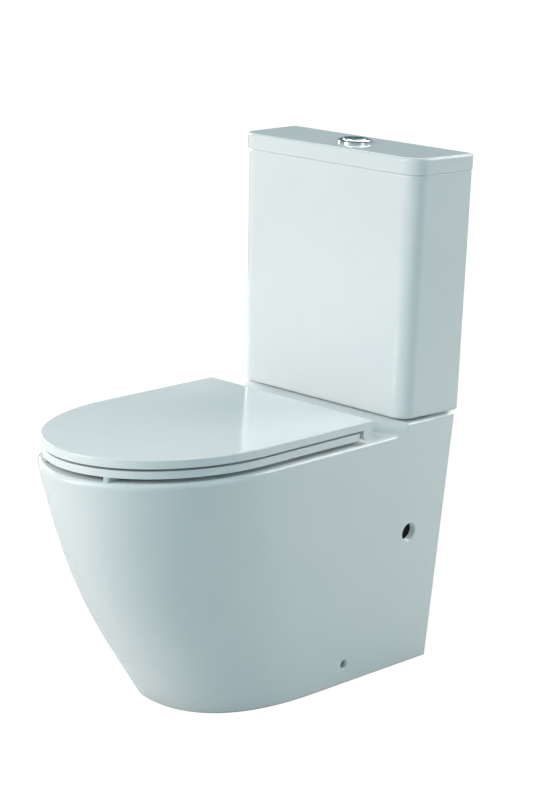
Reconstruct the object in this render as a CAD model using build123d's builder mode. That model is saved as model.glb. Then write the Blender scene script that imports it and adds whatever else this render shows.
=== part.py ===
from build123d import *
import os

os.makedirs("parts", exist_ok=True)

# A close coupled toilet in millimetres. The floor is z = 0, the front faces -Y, and the
# origin is on the floor at mid depth. Places along the depth are distances from the wall.

# ---- driving sizes: pan ----
projection = 684             # wall to the front of the pan
pan_width = 356              # across the rim
foot_width = 290             # across the skirt where it meets the floor at the wall
rim_height = 408             # floor to the rim and the hinge deck
platform_height = 425        # floor to the ledge that carries the cistern
step_foot = 136              # wall to the foot of the rise between deck and ledge
step_top = 113               # wall to the top of that rise
step_radius = 20             # hollow at the foot of the rise
ledge_radius = 6             # front edge of the ledge
rim_edge_radius = 7          # outer edge of the rim, deck and ledge
skirt_wall = 11              # thickness of the skirt
deck_thickness = 14          # thickness of the deck and the ledge
side_straight_foot = 270     # wall to the start of the nose at the floor
side_straight_rim = 440      # wall to the start of the nose at the ledge height
foot_fullness = 0.645        # how square the nose is at the floor
rim_fullness = 0.555         # and at the ledge height

# Nose and half width of the pan at even steps from the floor to the ledge, as shares of
# the projection and of half the pan width
pan_profile = [
    (0.696, 0.768),
    (0.787, 0.786),
    (0.868, 0.819),
    (0.930, 0.868),
    (0.974, 0.934),
    (1.011, 1.012),
]

# ---- driving sizes: bowl, trap and water way ----
bowl_wall = 10
bowl_rear = 258              # wall to the back of the bowl opening
rim_land = 34                # width of the rim at the front
bowl_width = 258             # across the bowl opening
rim_inner_radius = 6
# Height, width, back and front of the bowl as shares of rim height, opening width and length
bowl_profile = [
    (1.00, 1.00, 0.000, 1.000),
    (0.90, 0.98, 0.005, 0.990),
    (0.78, 0.90, 0.015, 0.940),
    (0.64, 0.74, 0.030, 0.845),
    (0.52, 0.54, 0.045, 0.700),
    (0.40, 0.36, 0.060, 0.520),
    (0.30, 0.27, 0.070, 0.390),
    (0.19, 0.22, 0.085, 0.290),
]
trap_bore = 58
trap_floor = 106             # centre height of the trap inlet
trap_crest = 222             # centre height of the weir bend
trap_turn = 285              # wall to the foot of the rising leg
crest_distance = 215         # wall to the top of the rising leg
crest_radius = 46
trap_entry = 60              # length of the level inlet inside the bowl
trap_fall = 65               # along the depth, from the crest to the spigot's axis
outlet_height = 180          # centre height of the waste spigot
outlet_diameter = 102
outlet_bore = 84
outlet_setback = 12          # wall to the end of the spigot
outlet_length = 125

# ---- driving sizes: cistern ----
tank_top = 816.5             # floor to the top of the tank
tank_gap = 5                 # between the ledge and the tank floor
tank_setback = 0.5           # between the wall and the tank
tank_depth = 133.5            # at the top
tank_width_back = 376
tank_width_front = 362
tank_taper_back = 1          # how much each side draws in towards the bottom, at the back
tank_taper_side = 5.5        # and at the front
tank_taper_front = 5.5       # how much the front draws in towards the bottom
tank_corner = 28
tank_back_corner = 7
inside_corner = 2            # least radius of the inner back corners
tank_wall = 9
tank_floor = 12
lid_thickness = 26
lid_overhang = 3
flush_distance = 60          # wall to the axis of the flush valve and its inlet

# ---- driving sizes: water way from the cistern to the bowl ----
inlet_well = 86              # round pocket in the ledge for the doughnut gasket
inlet_well_depth = 27
inlet_bore = 44
well_wall = 10
duct_width = 60
duct_height = 28
duct_wall = 9
duct_corner = 10
duct_mouth = 278             # wall to the end of the duct, inside the bowl
supply_slot_width = 44       # slot in the ledge for the supply pipe
supply_x = -118              # side offset of the fill valve and of the slot
supply_slot_reach = 92       # wall to the front of the slot
coupling_bolt_x = 84
coupling_bolt_hole = 12

# ---- driving sizes: cistern fittings ----
tank_foot_radius = 6
tank_lip_radius = 2.5
lid_edge_radius = 4
lid_foot_radius = 2
lid_plate = 12               # thickness of the lid inside its skirt
lid_lip = 6                  # locating lip that hangs inside the tank
lid_lip_width = 5
lid_clearance = 3            # between the lip and the tank wall
hole_clearance = 1.5         # around bolts and the valve tail
thread_clearance = 0.7       # around the supply thread
valve_tail = 50
coupling_bolt = 8
supply_thread = 20.95
thread_groove = 1.5
fill_distance = 60           # wall to the axis of the fill valve
supply_end = 388             # floor to the end of the supply thread
button_distance = 68         # wall to the axis of the push buttons
housing_diameter = 44
housing_clearance = 1
housing_bore = 40.5
housing_depth = 43           # below the lid top
housing_flange = 50
housing_flange_thickness = 1.5
housing_floor = 3
bezel_diameter = 55
bezel_height = 5
bezel_wall = 2.5             # upright outer wall of the bezel
bezel_land = 2               # flat ring round the buttons
bezel_crown = 7              # radius of the rounded top between them
button_diameter = 39.5
button_gap = 1               # between the two buttons
button_split = 4             # centre to the split, so that the full flush button is the larger
button_skirt = 9
button_edge_radius = 1.2
button_crown = 1.5           # how far the buttons stand above the bezel
button_travel = 8
rod_diameter = 6
rod_offset = 11              # centre of the buttons to each push rod
lock_nut_diameter = 58
lock_nut_height = 8
lock_nut_grips = 8
lock_nut_grip = 4            # radius of each finger grip
washer_thickness = 3
tail_bore = 42
tail_end = 404               # floor to the end of the threaded tail
valve_flange = 78
flange_thickness = 5
valve_seat_height = 6        # lip that the seal rests on, above the flange
back_nut_height = 9
back_nut_diameter = 66
back_nut_sides = 12
gasket_diameter = 84
gasket_edge_radius = 5
gasket_slack = 0.5           # between the gasket and the parts it is pushed over
basket_diameter = 72
basket_height = 50
basket_wall = 3
basket_window = 36           # width of its four windows
basket_band = 10             # height of the solid band above the windows
tower_collar = 12            # height of the collar on the basket
tower_float_gap = 3          # between the collar and the float
tower_rail_x = 31.5
tower_rail_width = 5
tower_rail_depth = 20
tower_rail_corner = 2
tower_head_height = 690      # floor to the underside of the tower head
tower_head_thickness = 12
head_cap_height = 34
head_cap_width = 60
head_cap_depth = 42
head_cap_corner = 6
head_cap_edge_radius = 3
plunger_diameter = 9.6
plunger_cap = 16
plunger_cap_height = 3
plunger_rise = 24            # plunger cap above the head
overflow_diameter = 28
overflow_wall = 2
overflow_top = 660
core_disc = 56
core_disc_thickness = 6
core_float_diameter = 50
core_float_height = 40
core_float_base = 560
core_float_edge_radius = 3
seal_rim = 1                 # the seal shows this far round the disc
fill_riser_diameter = 22
fill_riser_bore = 12
fill_riser_top = 720
fill_head_diameter = 46
fill_head_height = 34
fill_head_edge_radius = 5
fill_flange = 34
fill_flange_thickness = 4
fill_float_diameter = 56
fill_float_height = 60
fill_float_top = 690
fill_float_edge_radius = 4
fill_float_arm = 4           # thickness of the arm that carries the link
lever_length = 50            # pivot to the link
lever_offset = 18            # pivot to the axis of the fill valve
lever_rise = 16              # pivot above the valve head
lever_width = 10
lever_thickness = 5
lever_lug = 3
lever_side_gap = 0.5
lever_corner = 3
lever_nose = 9               # lever past the link
lever_tail = 5               # lever behind its pin
lever_pin = 4
lever_pin_clearance = 0.3
lever_pin_end = 2            # pin past each lug
link_diameter = 4
link_slot = 11
link_slot_width = 5
link_slot_corner = 2
link_cap_height = 3
link_cap = 8
link_play = 1                # between the cap of the link and the lever
bolt_head = 22
bolt_head_height = 5
rubber_washer = 26
metal_washer = 20
metal_washer_thickness = 1.5
wing_nut_hub = 14
wing_nut_height = 8
wing_span = 32
wing_thickness = 4
wing_corner = 1.5
coupling_bolt_end = 394      # floor to the lower end of the coupling bolts

# ---- driving sizes: seat ----
seat_bolt_x = 77.5
seat_bolt_hole = 14
seat_bolt = 7
hinge_distance = 209         # wall to the hinge axis
hinge_rise = 16              # hinge axis above the deck
hinge_barrel = 11            # radius of the cover's rear rail about the hinge axis
seat_front = 677             # wall to the front of the cover
seat_width = 350
seat_straight = 436          # wall to the start of the curved front
seat_fullness = 0.56         # how square the curved front is
cover_thickness = 13
cover_lift = 23              # underside of the cover above the rim
cover_recess = 5
cover_rim = 9
cover_edge_radius = 2
ring_lift = 7.5              # underside of the ring above the rim
ring_thickness = 11
ring_setback = 2.5           # edge of the ring behind the edge of the cover
ring_rear = 223              # wall to the rear edge of the ring
ring_edge_radius = 1.2
ring_mouth_radius = 6
mouth_width = 222
mouth_back = 290             # wall to the back of the seat mouth
mouth_front = 612            # wall to the front of the seat mouth
post_width = 14
post_depth = 12
post_barrel = 9
post_base = 26
post_base_thickness = 3
pin_diameter = 6
pin_clearance = 0.15
pin_inner_x = 50
pin_outer_x = 126
lug_inner_x = 52
lug_outer_x = 69
lug_barrel = 9.5
lug_root = 233               # wall to where each lug joins the ring
lug_depth = 7                # underside of the lug below the hinge axis
notch_inner_x = 49.5
notch_outer_x = 87
notch_roof = 13              # notch roof above the hinge axis
damper_inner_x = 90
damper_outer_x = 128
damper_diameter = 13
bung_recess = 1              # top of the bung below the deck
bung_flange = 26
bung_flange_thickness = 4
seat_nut_height = 12
seat_nut_diameter = 24
seat_nut_chamfer = 4
seat_bolt_end = 368          # floor to the lower end of the seat bolts
seat_rear_corner = 5
notch_reach = 4              # the notches reach this far past the rail, front and back
buffer_corner = 3.5
cover_buffer_length = 16
cover_buffer_width = 8
cover_buffer_side = 140
cover_buffer_distance = 400
cover_buffer_front_side = 45
cover_buffer_front = 638
seat_buffer_length = 26
seat_buffer_width = 12
seat_buffer_side = 150
seat_buffer_distance = 380
seat_buffer_front_side = 66
seat_buffer_front = 645

# ---- driving sizes: floor fixing ----
bracket_width = 40
bracket_height = 50
bracket_foot = 44
bracket_thickness = 3
bracket_gap = 3              # between the bracket and the skirt
bracket_bore = 9
side_screw = 6
side_screw_head = 11
side_screw_head_height = 3.5
sleeve_clearance = 0.5
side_screw_end = 6           # screw past the bracket

# ---- driving sizes: holes in the skirt ----
access_hole = 30
access_distance = 78
access_height = 234
fixing_hole = 14
fixing_distance = 200
fixing_height = 33
hole_edge_radius = 2

# ---- shared small values ----
hexagon = 6                  # sides of a nut or a bolt head
slip = 0.2                   # gap between parts that slide or nest
overlap = 2                  # how far a cutting or joining piece passes a face
clear_of_part = 10           # how far a trimming outline stays outside the part

wall_y = projection / 2
half_pan = pan_width / 2


def y_at(distance):
    """Y of a plane that lies this far in front of the wall."""
    return wall_y - distance


def pan_outline(height, nose, half_width, inset=0, rear=0):
    """Plan outline of the pan: straight back, leaning sides and a drawn nose."""
    share = height / platform_height
    half_back = foot_width / 2 + (half_pan - foot_width / 2) * share - inset
    half_side = half_width - inset
    straight = side_straight_foot + (side_straight_rim - side_straight_foot) * share
    tip = nose - inset
    fullness = foot_fullness + (rim_fullness - foot_fullness) * share
    reach = fullness * (tip - straight)
    lean = (half_side - half_back) / (straight - rear)
    with BuildSketch(Plane.XY.offset(height)) as outline:
        with BuildLine():
            Line((half_back, y_at(rear)), (half_side, y_at(straight)))
            Bezier((half_side, y_at(straight)), (half_side + lean * reach, y_at(straight + reach)),
                   (half_side * fullness, y_at(tip)), (0, y_at(tip)))
            mirror(about=Plane.YZ)
            Line((-half_back, y_at(rear)), (half_back, y_at(rear)))
        make_face()
    return outline.sketch


def pan_sections(inset=0, rear=0):
    """Pan outlines at even steps of height."""
    step = platform_height / (len(pan_profile) - 1)
    return [
        pan_outline(index * step, nose * projection, width * half_pan, inset, rear)
        for index, (nose, width) in enumerate(pan_profile)
    ]


bowl_length = projection - rim_land - bowl_rear


def bowl_sections(inset=0):
    """Oval sections of the bowl from its sump to the rim; a negative inset gives its outer face."""
    sections = []
    for height, width, back, front in reversed(bowl_profile):
        middle = bowl_rear + bowl_length * (back + front) / 2
        with BuildSketch(Plane((0, y_at(middle), height * rim_height))) as oval:
            Ellipse(bowl_width * width / 2 - inset, bowl_length * (front - back) / 2 - inset)
        sections.append(oval.sketch)
    return sections


# ---- the hollow inside the skirt ----
with BuildPart() as skirt_hollow:
    loft(pan_sections(inset=skirt_wall, rear=-2 * overlap))
    split(bisect_by=Plane.XY.offset(rim_height - deck_thickness), keep=Keep.BOTTOM)

# ---- trap way: a round bore that rises over the weir and drops to the spigot ----
with BuildLine(Plane.YZ) as trap_path:
    FilletPolyline((y_at(trap_turn + trap_entry), trap_floor), (y_at(trap_turn), trap_floor),
                   (y_at(crest_distance), trap_crest), (y_at(crest_distance - trap_fall), outlet_height),
                   (y_at(outlet_length - bowl_wall / 2), outlet_height), radius=crest_radius)


def trap_pipe(radius):
    """Round section swept along the trap way."""
    with BuildPart() as pipe:
        with BuildSketch(trap_path.line ^ 0):
            Circle(radius)
        sweep(path=trap_path.line)
    return pipe.part


roof = rim_height - deck_thickness
well_floor = platform_height - inlet_well_depth
duct_top = well_floor - well_wall
duct_floor = duct_top - duct_height


def bowl_outside():
    """Closed outer face of the bowl, below the rim."""
    with BuildPart() as shell:
        loft(bowl_sections(-bowl_wall))
        split(bisect_by=Plane.XY.offset(rim_height - rim_edge_radius), keep=Keep.BOTTOM)
        extrude(shell.faces().sort_by(Axis.Z)[0], amount=bowl_wall)
    return shell.part


# ---- pan ----
with BuildPart() as pan:
    loft(pan_sections(rear=-overlap))
    split(bisect_by=Plane.XZ.offset(-wall_y), keep=Keep.TOP)
    # the step between the cistern ledge and the hinge deck
    with BuildSketch(Plane.YZ):
        with BuildLine():
            step = FilletPolyline((y_at(projection + clear_of_part), rim_height), (y_at(step_foot), rim_height),
                                  (y_at(step_top), platform_height),
                                  (y_at(step_top), platform_height + clear_of_part),
                                  radius=[step_radius, ledge_radius])
            Polyline(step @ 1, (y_at(projection + clear_of_part), platform_height + clear_of_part), step @ 0)
        make_face()
    extrude(amount=pan_width, both=True, mode=Mode.SUBTRACT)
    # the soft edge that runs round the rim, up the step and along the ledge
    top_edges = pan.edges().filter_by(lambda edge: edge.bounding_box().min.Z > rim_height - overlap)
    fillet(top_edges.filter_by(Axis.X, reverse=True), radius=rim_edge_radius)
    add(skirt_hollow.part, mode=Mode.SUBTRACT)
    # the ledge is as thin as the deck, so its hollow reaches higher
    with BuildSketch(Plane.XY.offset(roof - overlap)):
        with Locations((0, y_at(step_top / 2 - clear_of_part))):
            Rectangle(pan_width - 2 * skirt_wall - 2 * rim_edge_radius, step_top - clear_of_part)
    extrude(amount=platform_height - deck_thickness - roof + overlap, mode=Mode.SUBTRACT)
    # bowl, trap way and waste spigot
    add(bowl_outside())
    add(trap_pipe(trap_bore / 2 + bowl_wall))
    with BuildSketch(Plane((0, y_at(outlet_setback), outlet_height), z_dir=(0, -1, 0))):
        Circle(outlet_diameter / 2)
    extrude(amount=outlet_length)
    # inlet well and the duct that leads forward to the bowl
    with BuildSketch(Plane.XY.offset(duct_top)):
        with Locations((0, y_at(flush_distance))):
            Circle(inlet_well / 2 + well_wall)
    extrude(amount=platform_height - deck_thickness / 2 - duct_top)
    with BuildSketch(Plane.XY.offset(duct_floor - duct_wall)):
        with Locations((0, y_at((flush_distance - duct_width / 2 + bowl_rear) / 2))):
            Rectangle(duct_width + 2 * duct_wall, bowl_rear - flush_distance + duct_width / 2 + 2 * duct_wall)
    extrude(amount=roof + overlap - duct_floor + duct_wall)
    # everything that carries water
    loft(bowl_sections(), mode=Mode.SUBTRACT)
    add(trap_pipe(trap_bore / 2), mode=Mode.SUBTRACT)
    with BuildSketch(Plane((0, y_at(outlet_setback - overlap), outlet_height), z_dir=(0, -1, 0))):
        Circle(outlet_bore / 2)
    extrude(amount=outlet_length - bowl_wall, mode=Mode.SUBTRACT)
    with BuildSketch(Plane.XY.offset(duct_floor)):
        with Locations((0, y_at((flush_distance - duct_width / 2 + duct_mouth) / 2))):
            RectangleRounded(duct_width, duct_mouth - flush_distance + duct_width / 2, duct_corner)
    extrude(amount=duct_height, mode=Mode.SUBTRACT)
    with BuildSketch(Plane.XY.offset(duct_top - overlap)):
        with Locations((0, y_at(flush_distance))):
            Circle(inlet_bore / 2)
    extrude(amount=well_wall + 2 * overlap, mode=Mode.SUBTRACT)
    with BuildSketch(Plane.XY.offset(well_floor)):
        with Locations((0, y_at(flush_distance))):
            Circle(inlet_well / 2)
    extrude(amount=inlet_well_depth + overlap, mode=Mode.SUBTRACT)
    # soft inner edge of the rim
    rim_mouth = pan.faces().filter_by(Axis.Z).filter_by_position(
        Axis.Z, rim_height - overlap, rim_height + overlap).edges().filter_by(
        lambda edge: abs(edge.center(CenterOf.BOUNDING_BOX).Y - y_at(bowl_rear + bowl_length / 2)) < overlap)
    fillet(rim_mouth, radius=rim_inner_radius)
    # holes: cistern bolts, seat bolts and the supply slot, which is open to the wall
    with Locations((coupling_bolt_x, y_at(flush_distance), platform_height),
                   (-coupling_bolt_x, y_at(flush_distance), platform_height)):
        Hole(coupling_bolt_hole / 2, depth=3 * deck_thickness)
    with Locations((seat_bolt_x, y_at(hinge_distance), rim_height),
                   (-seat_bolt_x, y_at(hinge_distance), rim_height)):
        Hole(seat_bolt_hole / 2, depth=2 * deck_thickness)
    with BuildSketch(Plane.XY.offset(platform_height)):
        with Locations((supply_x, wall_y)):
            SlotOverall(2 * supply_slot_reach, supply_slot_width, rotation=90)
    extrude(amount=-2 * deck_thickness, mode=Mode.SUBTRACT)
    # access holes and side fixing holes, through both sides of the skirt
    for side in (1, -1):
        with BuildSketch(Plane((side * half_pan, y_at(access_distance), access_height), z_dir=(-side, 0, 0))):
            Circle(access_hole / 2)
        with BuildSketch(Plane((side * half_pan, y_at(fixing_distance), fixing_height), z_dir=(-side, 0, 0))):
            Circle(fixing_hole / 2)
    extrude(amount=half_pan - foot_width / 2 + 3 * skirt_wall, mode=Mode.SUBTRACT)
    for distance, height, hole in ((access_distance, access_height, access_hole),
                                   (fixing_distance, fixing_height, fixing_hole)):
        outer_edges = pan.edges().filter_by_position(
            Axis.Z, height - hole * 0.6, height + hole * 0.6).filter_by_position(
            Axis.Y, y_at(distance + hole * 0.6), y_at(distance - hole * 0.6)).filter_by(
            lambda edge: edge.bounding_box().size.Z > hole * 0.9
            and abs(edge.center(CenterOf.BOUNDING_BOX).X) > foot_width / 3).group_by(
            lambda edge: abs(edge.center(CenterOf.BOUNDING_BOX).X))[-1]
        fillet(outer_edges, radius=hole_edge_radius)
pan.part.label = "pan"
export_step(pan.part, "parts/pan.step")

# ---- cistern ----
tank_bottom = platform_height + tank_gap
tank_height = tank_top - tank_bottom
inside_floor = tank_bottom + tank_floor


def tank_outline(height, drawn_in=0, inset=0):
    """Plan outline of the tank; drawn_in runs from 0 at its top to 1 at its bottom."""
    front = tank_setback + tank_depth - drawn_in * tank_taper_front - inset
    back = tank_setback + max(inset, 0)
    half_front = tank_width_front / 2 - drawn_in * tank_taper_side - inset
    half_back = tank_width_back / 2 - drawn_in * tank_taper_back - inset
    with BuildSketch(Plane.XY.offset(height)) as outline:
        with BuildLine():
            Polyline((half_back, y_at(back)), (half_front, y_at(front)),
                     (-half_front, y_at(front)), (-half_back, y_at(back)), close=True)
        make_face()
        fillet(outline.vertices().group_by(Axis.Y)[0], radius=tank_corner - inset)
        fillet(outline.vertices().group_by(Axis.Y)[-1], radius=max(tank_back_corner - inset, inside_corner))
    return outline.sketch


with BuildPart() as cistern_tank:
    loft([tank_outline(tank_bottom, drawn_in=1), tank_outline(tank_top)], ruled=True)
    fillet(cistern_tank.edges().group_by(Axis.Z)[0], radius=tank_foot_radius)
    fillet(cistern_tank.edges().group_by(Axis.Z)[-1], radius=tank_lip_radius)
    loft([tank_outline(inside_floor, drawn_in=1, inset=tank_wall), tank_outline(tank_top, inset=tank_wall)],
         ruled=True, mode=Mode.SUBTRACT)
    with Locations((0, y_at(flush_distance), inside_floor)):
        Hole(valve_tail / 2 + hole_clearance, depth=tank_floor)
    with Locations((coupling_bolt_x, y_at(flush_distance), inside_floor),
                   (-coupling_bolt_x, y_at(flush_distance), inside_floor)):
        Hole(coupling_bolt / 2 + hole_clearance, depth=tank_floor)
    with Locations((supply_x, y_at(fill_distance), inside_floor)):
        Hole(supply_thread / 2 + thread_clearance, depth=tank_floor)
cistern_tank.part.label = "cistern_tank"
export_step(cistern_tank.part, "parts/cistern_tank.step")

lid_top = tank_top + lid_thickness
lid_plate_bottom = lid_top - lid_plate

with BuildPart() as cistern_lid:
    add(tank_outline(tank_top, inset=-lid_overhang))
    extrude(amount=lid_thickness)
    fillet(cistern_lid.edges().group_by(Axis.Z)[-1], radius=lid_edge_radius)
    fillet(cistern_lid.edges().group_by(Axis.Z)[0], radius=lid_foot_radius)
    add(tank_outline(tank_top - lid_lip, inset=tank_wall + lid_clearance))
    extrude(amount=lid_lip + overlap)
    add(tank_outline(tank_top - lid_lip, inset=tank_wall + lid_clearance + lid_lip_width))
    extrude(amount=lid_lip + lid_thickness - lid_plate, mode=Mode.SUBTRACT)
    with Locations((0, y_at(button_distance), lid_top)):
        Hole(housing_diameter / 2 + housing_clearance, depth=lid_plate)
cistern_lid.part.label = "cistern_lid"
export_step(cistern_lid.part, "parts/cistern_lid.step")

button_centre = (0, y_at(button_distance))
flush_centre = (0, y_at(flush_distance))
fill_centre = (supply_x, y_at(fill_distance))


def add_tube(centre, bottom, top, outer, inner=0, mode=Mode.ADD):
    """Upright round tube in the open part block, solid where no inner diameter is given."""
    with BuildSketch(Plane.XY.offset(bottom)) as ring:
        with Locations(centre):
            Circle(outer / 2)
            if inner:
                Circle(inner / 2, mode=Mode.SUBTRACT)
    extrude(ring.sketch, amount=top - bottom, mode=mode)


def add_cross_tube(start, end, distance, height, outer, inner=0, mode=Mode.ADD):
    """Round tube along X in the open part block, from one X to another."""
    with BuildSketch(Plane((start, y_at(distance), height), z_dir=(1, 0, 0))) as ring:
        Circle(outer / 2)
        if inner:
            Circle(inner / 2, mode=Mode.SUBTRACT)
    extrude(ring.sketch, amount=end - start, mode=mode)


def add_along_y(x, height, distance, outer, length, mode=Mode.ADD):
    """Round bar along Y in the open part block, centred on a distance from the wall."""
    with BuildSketch(Plane((x, y_at(distance + length / 2), height), z_dir=(0, 1, 0))) as disc:
        Circle(outer / 2)
    extrude(disc.sketch, amount=length, mode=mode)


def add_block(centre, bottom, top, width, depth, corner=0, mode=Mode.ADD):
    """Upright block in the open part block, with rounded upright edges where a corner is given."""
    with BuildSketch(Plane.XY.offset(bottom)) as base:
        with Locations(centre):
            if corner:
                RectangleRounded(width, depth, corner)
            else:
                Rectangle(width, depth)
    extrude(base.sketch, amount=top - bottom, mode=mode)


# ---- push buttons ----
bezel_top = lid_top + bezel_height
bezel_seat = housing_flange / 2 + slip
button_top = bezel_top + button_crown
button_bottom = button_top - button_skirt
housing_bottom = lid_top - housing_depth
plunger_top = tower_head_height + tower_head_thickness + head_cap_height + plunger_rise

with BuildPart() as button_housing:
    add_tube(button_centre, housing_bottom, lid_top, housing_diameter, housing_bore)
    add_tube(button_centre, lid_top, lid_top + housing_flange_thickness, housing_flange, housing_bore)
    add_tube(button_centre, housing_bottom, housing_bottom + housing_floor, housing_diameter)
    with Locations((rod_offset, y_at(button_distance), housing_bottom + housing_floor),
                   (-rod_offset, y_at(button_distance), housing_bottom + housing_floor)):
        Hole(rod_diameter / 2 + hole_clearance, depth=housing_floor)
button_housing.part.label = "button_housing"
export_step(button_housing.part, "parts/button_housing.step")

with BuildPart() as button_bezel:
    with BuildSketch(Plane((0, y_at(button_distance), lid_top), x_dir=(1, 0, 0), z_dir=(0, -1, 0))):
        with BuildLine():
            Polyline((bezel_seat, 0), (bezel_diameter / 2, 0), (bezel_diameter / 2, bezel_wall))
            RadiusArc((bezel_diameter / 2, bezel_wall), (housing_bore / 2 + bezel_land, bezel_height),
                      -bezel_crown)
            Polyline((housing_bore / 2 + bezel_land, bezel_height), (housing_bore / 2, bezel_height),
                     (housing_bore / 2, housing_flange_thickness), (bezel_seat, housing_flange_thickness),
                     (bezel_seat, 0))
        make_face()
    revolve(axis=Axis((0, y_at(button_distance), 0), (0, 0, 1)))
button_bezel.part.label = "button_bezel"
export_step(button_bezel.part, "parts/button_bezel.step")

with BuildPart() as button_lock_nut:
    add_tube(button_centre, lid_plate_bottom - lock_nut_height, lid_plate_bottom, lock_nut_diameter)
    with BuildSketch(Plane.XY.offset(lid_plate_bottom - lock_nut_height)):
        with Locations(button_centre):
            with PolarLocations(lock_nut_diameter / 2, lock_nut_grips):
                Circle(lock_nut_grip)
    extrude(amount=lock_nut_height, mode=Mode.SUBTRACT)
    add_tube(button_centre, lid_plate_bottom - lock_nut_height, lid_plate_bottom, housing_diameter,
             mode=Mode.SUBTRACT)
button_lock_nut.part.label = "button_lock_nut"
export_step(button_lock_nut.part, "parts/button_lock_nut.step")


def button_body(left, right):
    """Part of the round button between two X values, with a crowned top."""
    with BuildPart() as body:
        add_tube(button_centre, button_bottom, button_top, button_diameter)
        fillet(body.edges().group_by(Axis.Z)[-1], radius=button_edge_radius)
        add_block(((left + right) / 2, y_at(button_distance)), button_bottom - overlap, button_top + overlap,
                  right - left, button_diameter + overlap, mode=Mode.INTERSECT)
    return body.part


with BuildPart() as full_flush_button:
    add(button_body(-button_diameter, button_split - button_gap / 2))
full_flush_button.part.label = "full_flush_button"
export_step(full_flush_button.part, "parts/full_flush_button.step")

with BuildPart() as half_flush_button:
    add(button_body(button_split + button_gap / 2, button_diameter))
half_flush_button.part.label = "half_flush_button"
export_step(half_flush_button.part, "parts/half_flush_button.step")

with BuildPart() as full_flush_rod:
    add_tube((-rod_offset, y_at(button_distance)), plunger_top, button_bottom, rod_diameter)
full_flush_rod.part.label = "full_flush_rod"
export_step(full_flush_rod.part, "parts/full_flush_rod.step")

with BuildPart() as half_flush_rod:
    add_tube((rod_offset, y_at(button_distance)), plunger_top, button_bottom, rod_diameter)
half_flush_rod.part.label = "half_flush_rod"
export_step(half_flush_rod.part, "parts/half_flush_rod.step")

# ---- flush valve ----
flange_bottom = inside_floor + washer_thickness
flange_top = flange_bottom + flange_thickness
basket_top = flange_top + basket_height
seat_lip_top = flange_top + valve_seat_height
head_top = tower_head_height + tower_head_thickness
cap_top = head_top + head_cap_height

with BuildPart() as flush_valve_base:
    add_tube(flush_centre, tail_end, flange_bottom, valve_tail, tail_bore)
    add_tube(flush_centre, flange_bottom, flange_top, valve_flange, tail_bore)
    add_tube(flush_centre, flange_top, seat_lip_top, valve_tail, tail_bore)
    add_tube(flush_centre, flange_top, basket_top, basket_diameter, basket_diameter - 2 * basket_wall)
    with BuildSketch(Plane.XY.offset(seat_lip_top)):
        with Locations(flush_centre):
            with PolarLocations(0, 2, start_angle=45, angular_range=180):
                Rectangle(basket_diameter + 2 * overlap, basket_window)
    extrude(amount=basket_height - valve_seat_height - basket_band, mode=Mode.SUBTRACT)
flush_valve_base.part.label = "flush_valve_base"
export_step(flush_valve_base.part, "parts/flush_valve_base.step")

with BuildPart() as flush_valve_washer:
    add_tube(flush_centre, inside_floor, flange_bottom, valve_flange - 2, valve_tail)
flush_valve_washer.part.label = "flush_valve_washer"
export_step(flush_valve_washer.part, "parts/flush_valve_washer.step")

with BuildPart() as flush_valve_back_nut:
    with BuildSketch(Plane.XY.offset(tank_bottom - back_nut_height)):
        with Locations(flush_centre):
            RegularPolygon(back_nut_diameter / 2, back_nut_sides)
            Circle(valve_tail / 2, mode=Mode.SUBTRACT)
    extrude(amount=back_nut_height)
flush_valve_back_nut.part.label = "flush_valve_back_nut"
export_step(flush_valve_back_nut.part, "parts/flush_valve_back_nut.step")

with BuildPart() as coupling_gasket:
    add_tube(flush_centre, well_floor, tank_bottom, gasket_diameter, valve_tail + 2 * gasket_slack)
    fillet(coupling_gasket.edges().group_by(Axis.Z)[0].sort_by(SortBy.LENGTH)[-1], radius=gasket_edge_radius)
    add_tube(flush_centre, tank_bottom - back_nut_height - gasket_slack, tank_bottom,
             back_nut_diameter + 2 * gasket_slack, mode=Mode.SUBTRACT)
coupling_gasket.part.label = "coupling_gasket"
export_step(coupling_gasket.part, "parts/coupling_gasket.step")

with BuildPart() as flush_valve_tower:
    add_tube(flush_centre, basket_top, basket_top + tower_collar, basket_diameter,
             core_float_diameter + 2 * tower_float_gap)
    for side in (1, -1):
        add_block((side * tower_rail_x, y_at(flush_distance)), basket_top + tower_collar, tower_head_height,
                  tower_rail_width, tower_rail_depth, corner=tower_rail_corner)
    add_tube(flush_centre, tower_head_height, head_top, basket_diameter - overlap,
             overflow_diameter + 2 * overlap)
flush_valve_tower.part.label = "flush_valve_tower"
export_step(flush_valve_tower.part, "parts/flush_valve_tower.step")

head_cap_centre = (0, y_at((flush_distance + button_distance) / 2))

with BuildPart() as flush_valve_head:
    add_block(head_cap_centre, head_top, cap_top, head_cap_width, head_cap_depth, corner=head_cap_corner)
    fillet(flush_valve_head.edges().group_by(Axis.Z)[-1], radius=head_cap_edge_radius)
    with Locations((rod_offset, y_at(button_distance), cap_top), (-rod_offset, y_at(button_distance), cap_top)):
        Hole(plunger_diameter / 2 + slip, depth=head_cap_height)
flush_valve_head.part.label = "flush_valve_head"
export_step(flush_valve_head.part, "parts/flush_valve_head.step")


def plunger(x):
    """Spring loaded pin with a round cap, in the open part block."""
    centre = (x, y_at(button_distance))
    add_tube(centre, head_top + button_travel + overlap, plunger_top - plunger_cap_height, plunger_diameter)
    add_tube(centre, plunger_top - plunger_cap_height, plunger_top, plunger_cap)


with BuildPart() as full_flush_plunger:
    plunger(-rod_offset)
full_flush_plunger.part.label = "full_flush_plunger"
export_step(full_flush_plunger.part, "parts/full_flush_plunger.step")

with BuildPart() as half_flush_plunger:
    plunger(rod_offset)
half_flush_plunger.part.label = "half_flush_plunger"
export_step(half_flush_plunger.part, "parts/half_flush_plunger.step")

seal_top = seat_lip_top + washer_thickness

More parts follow.
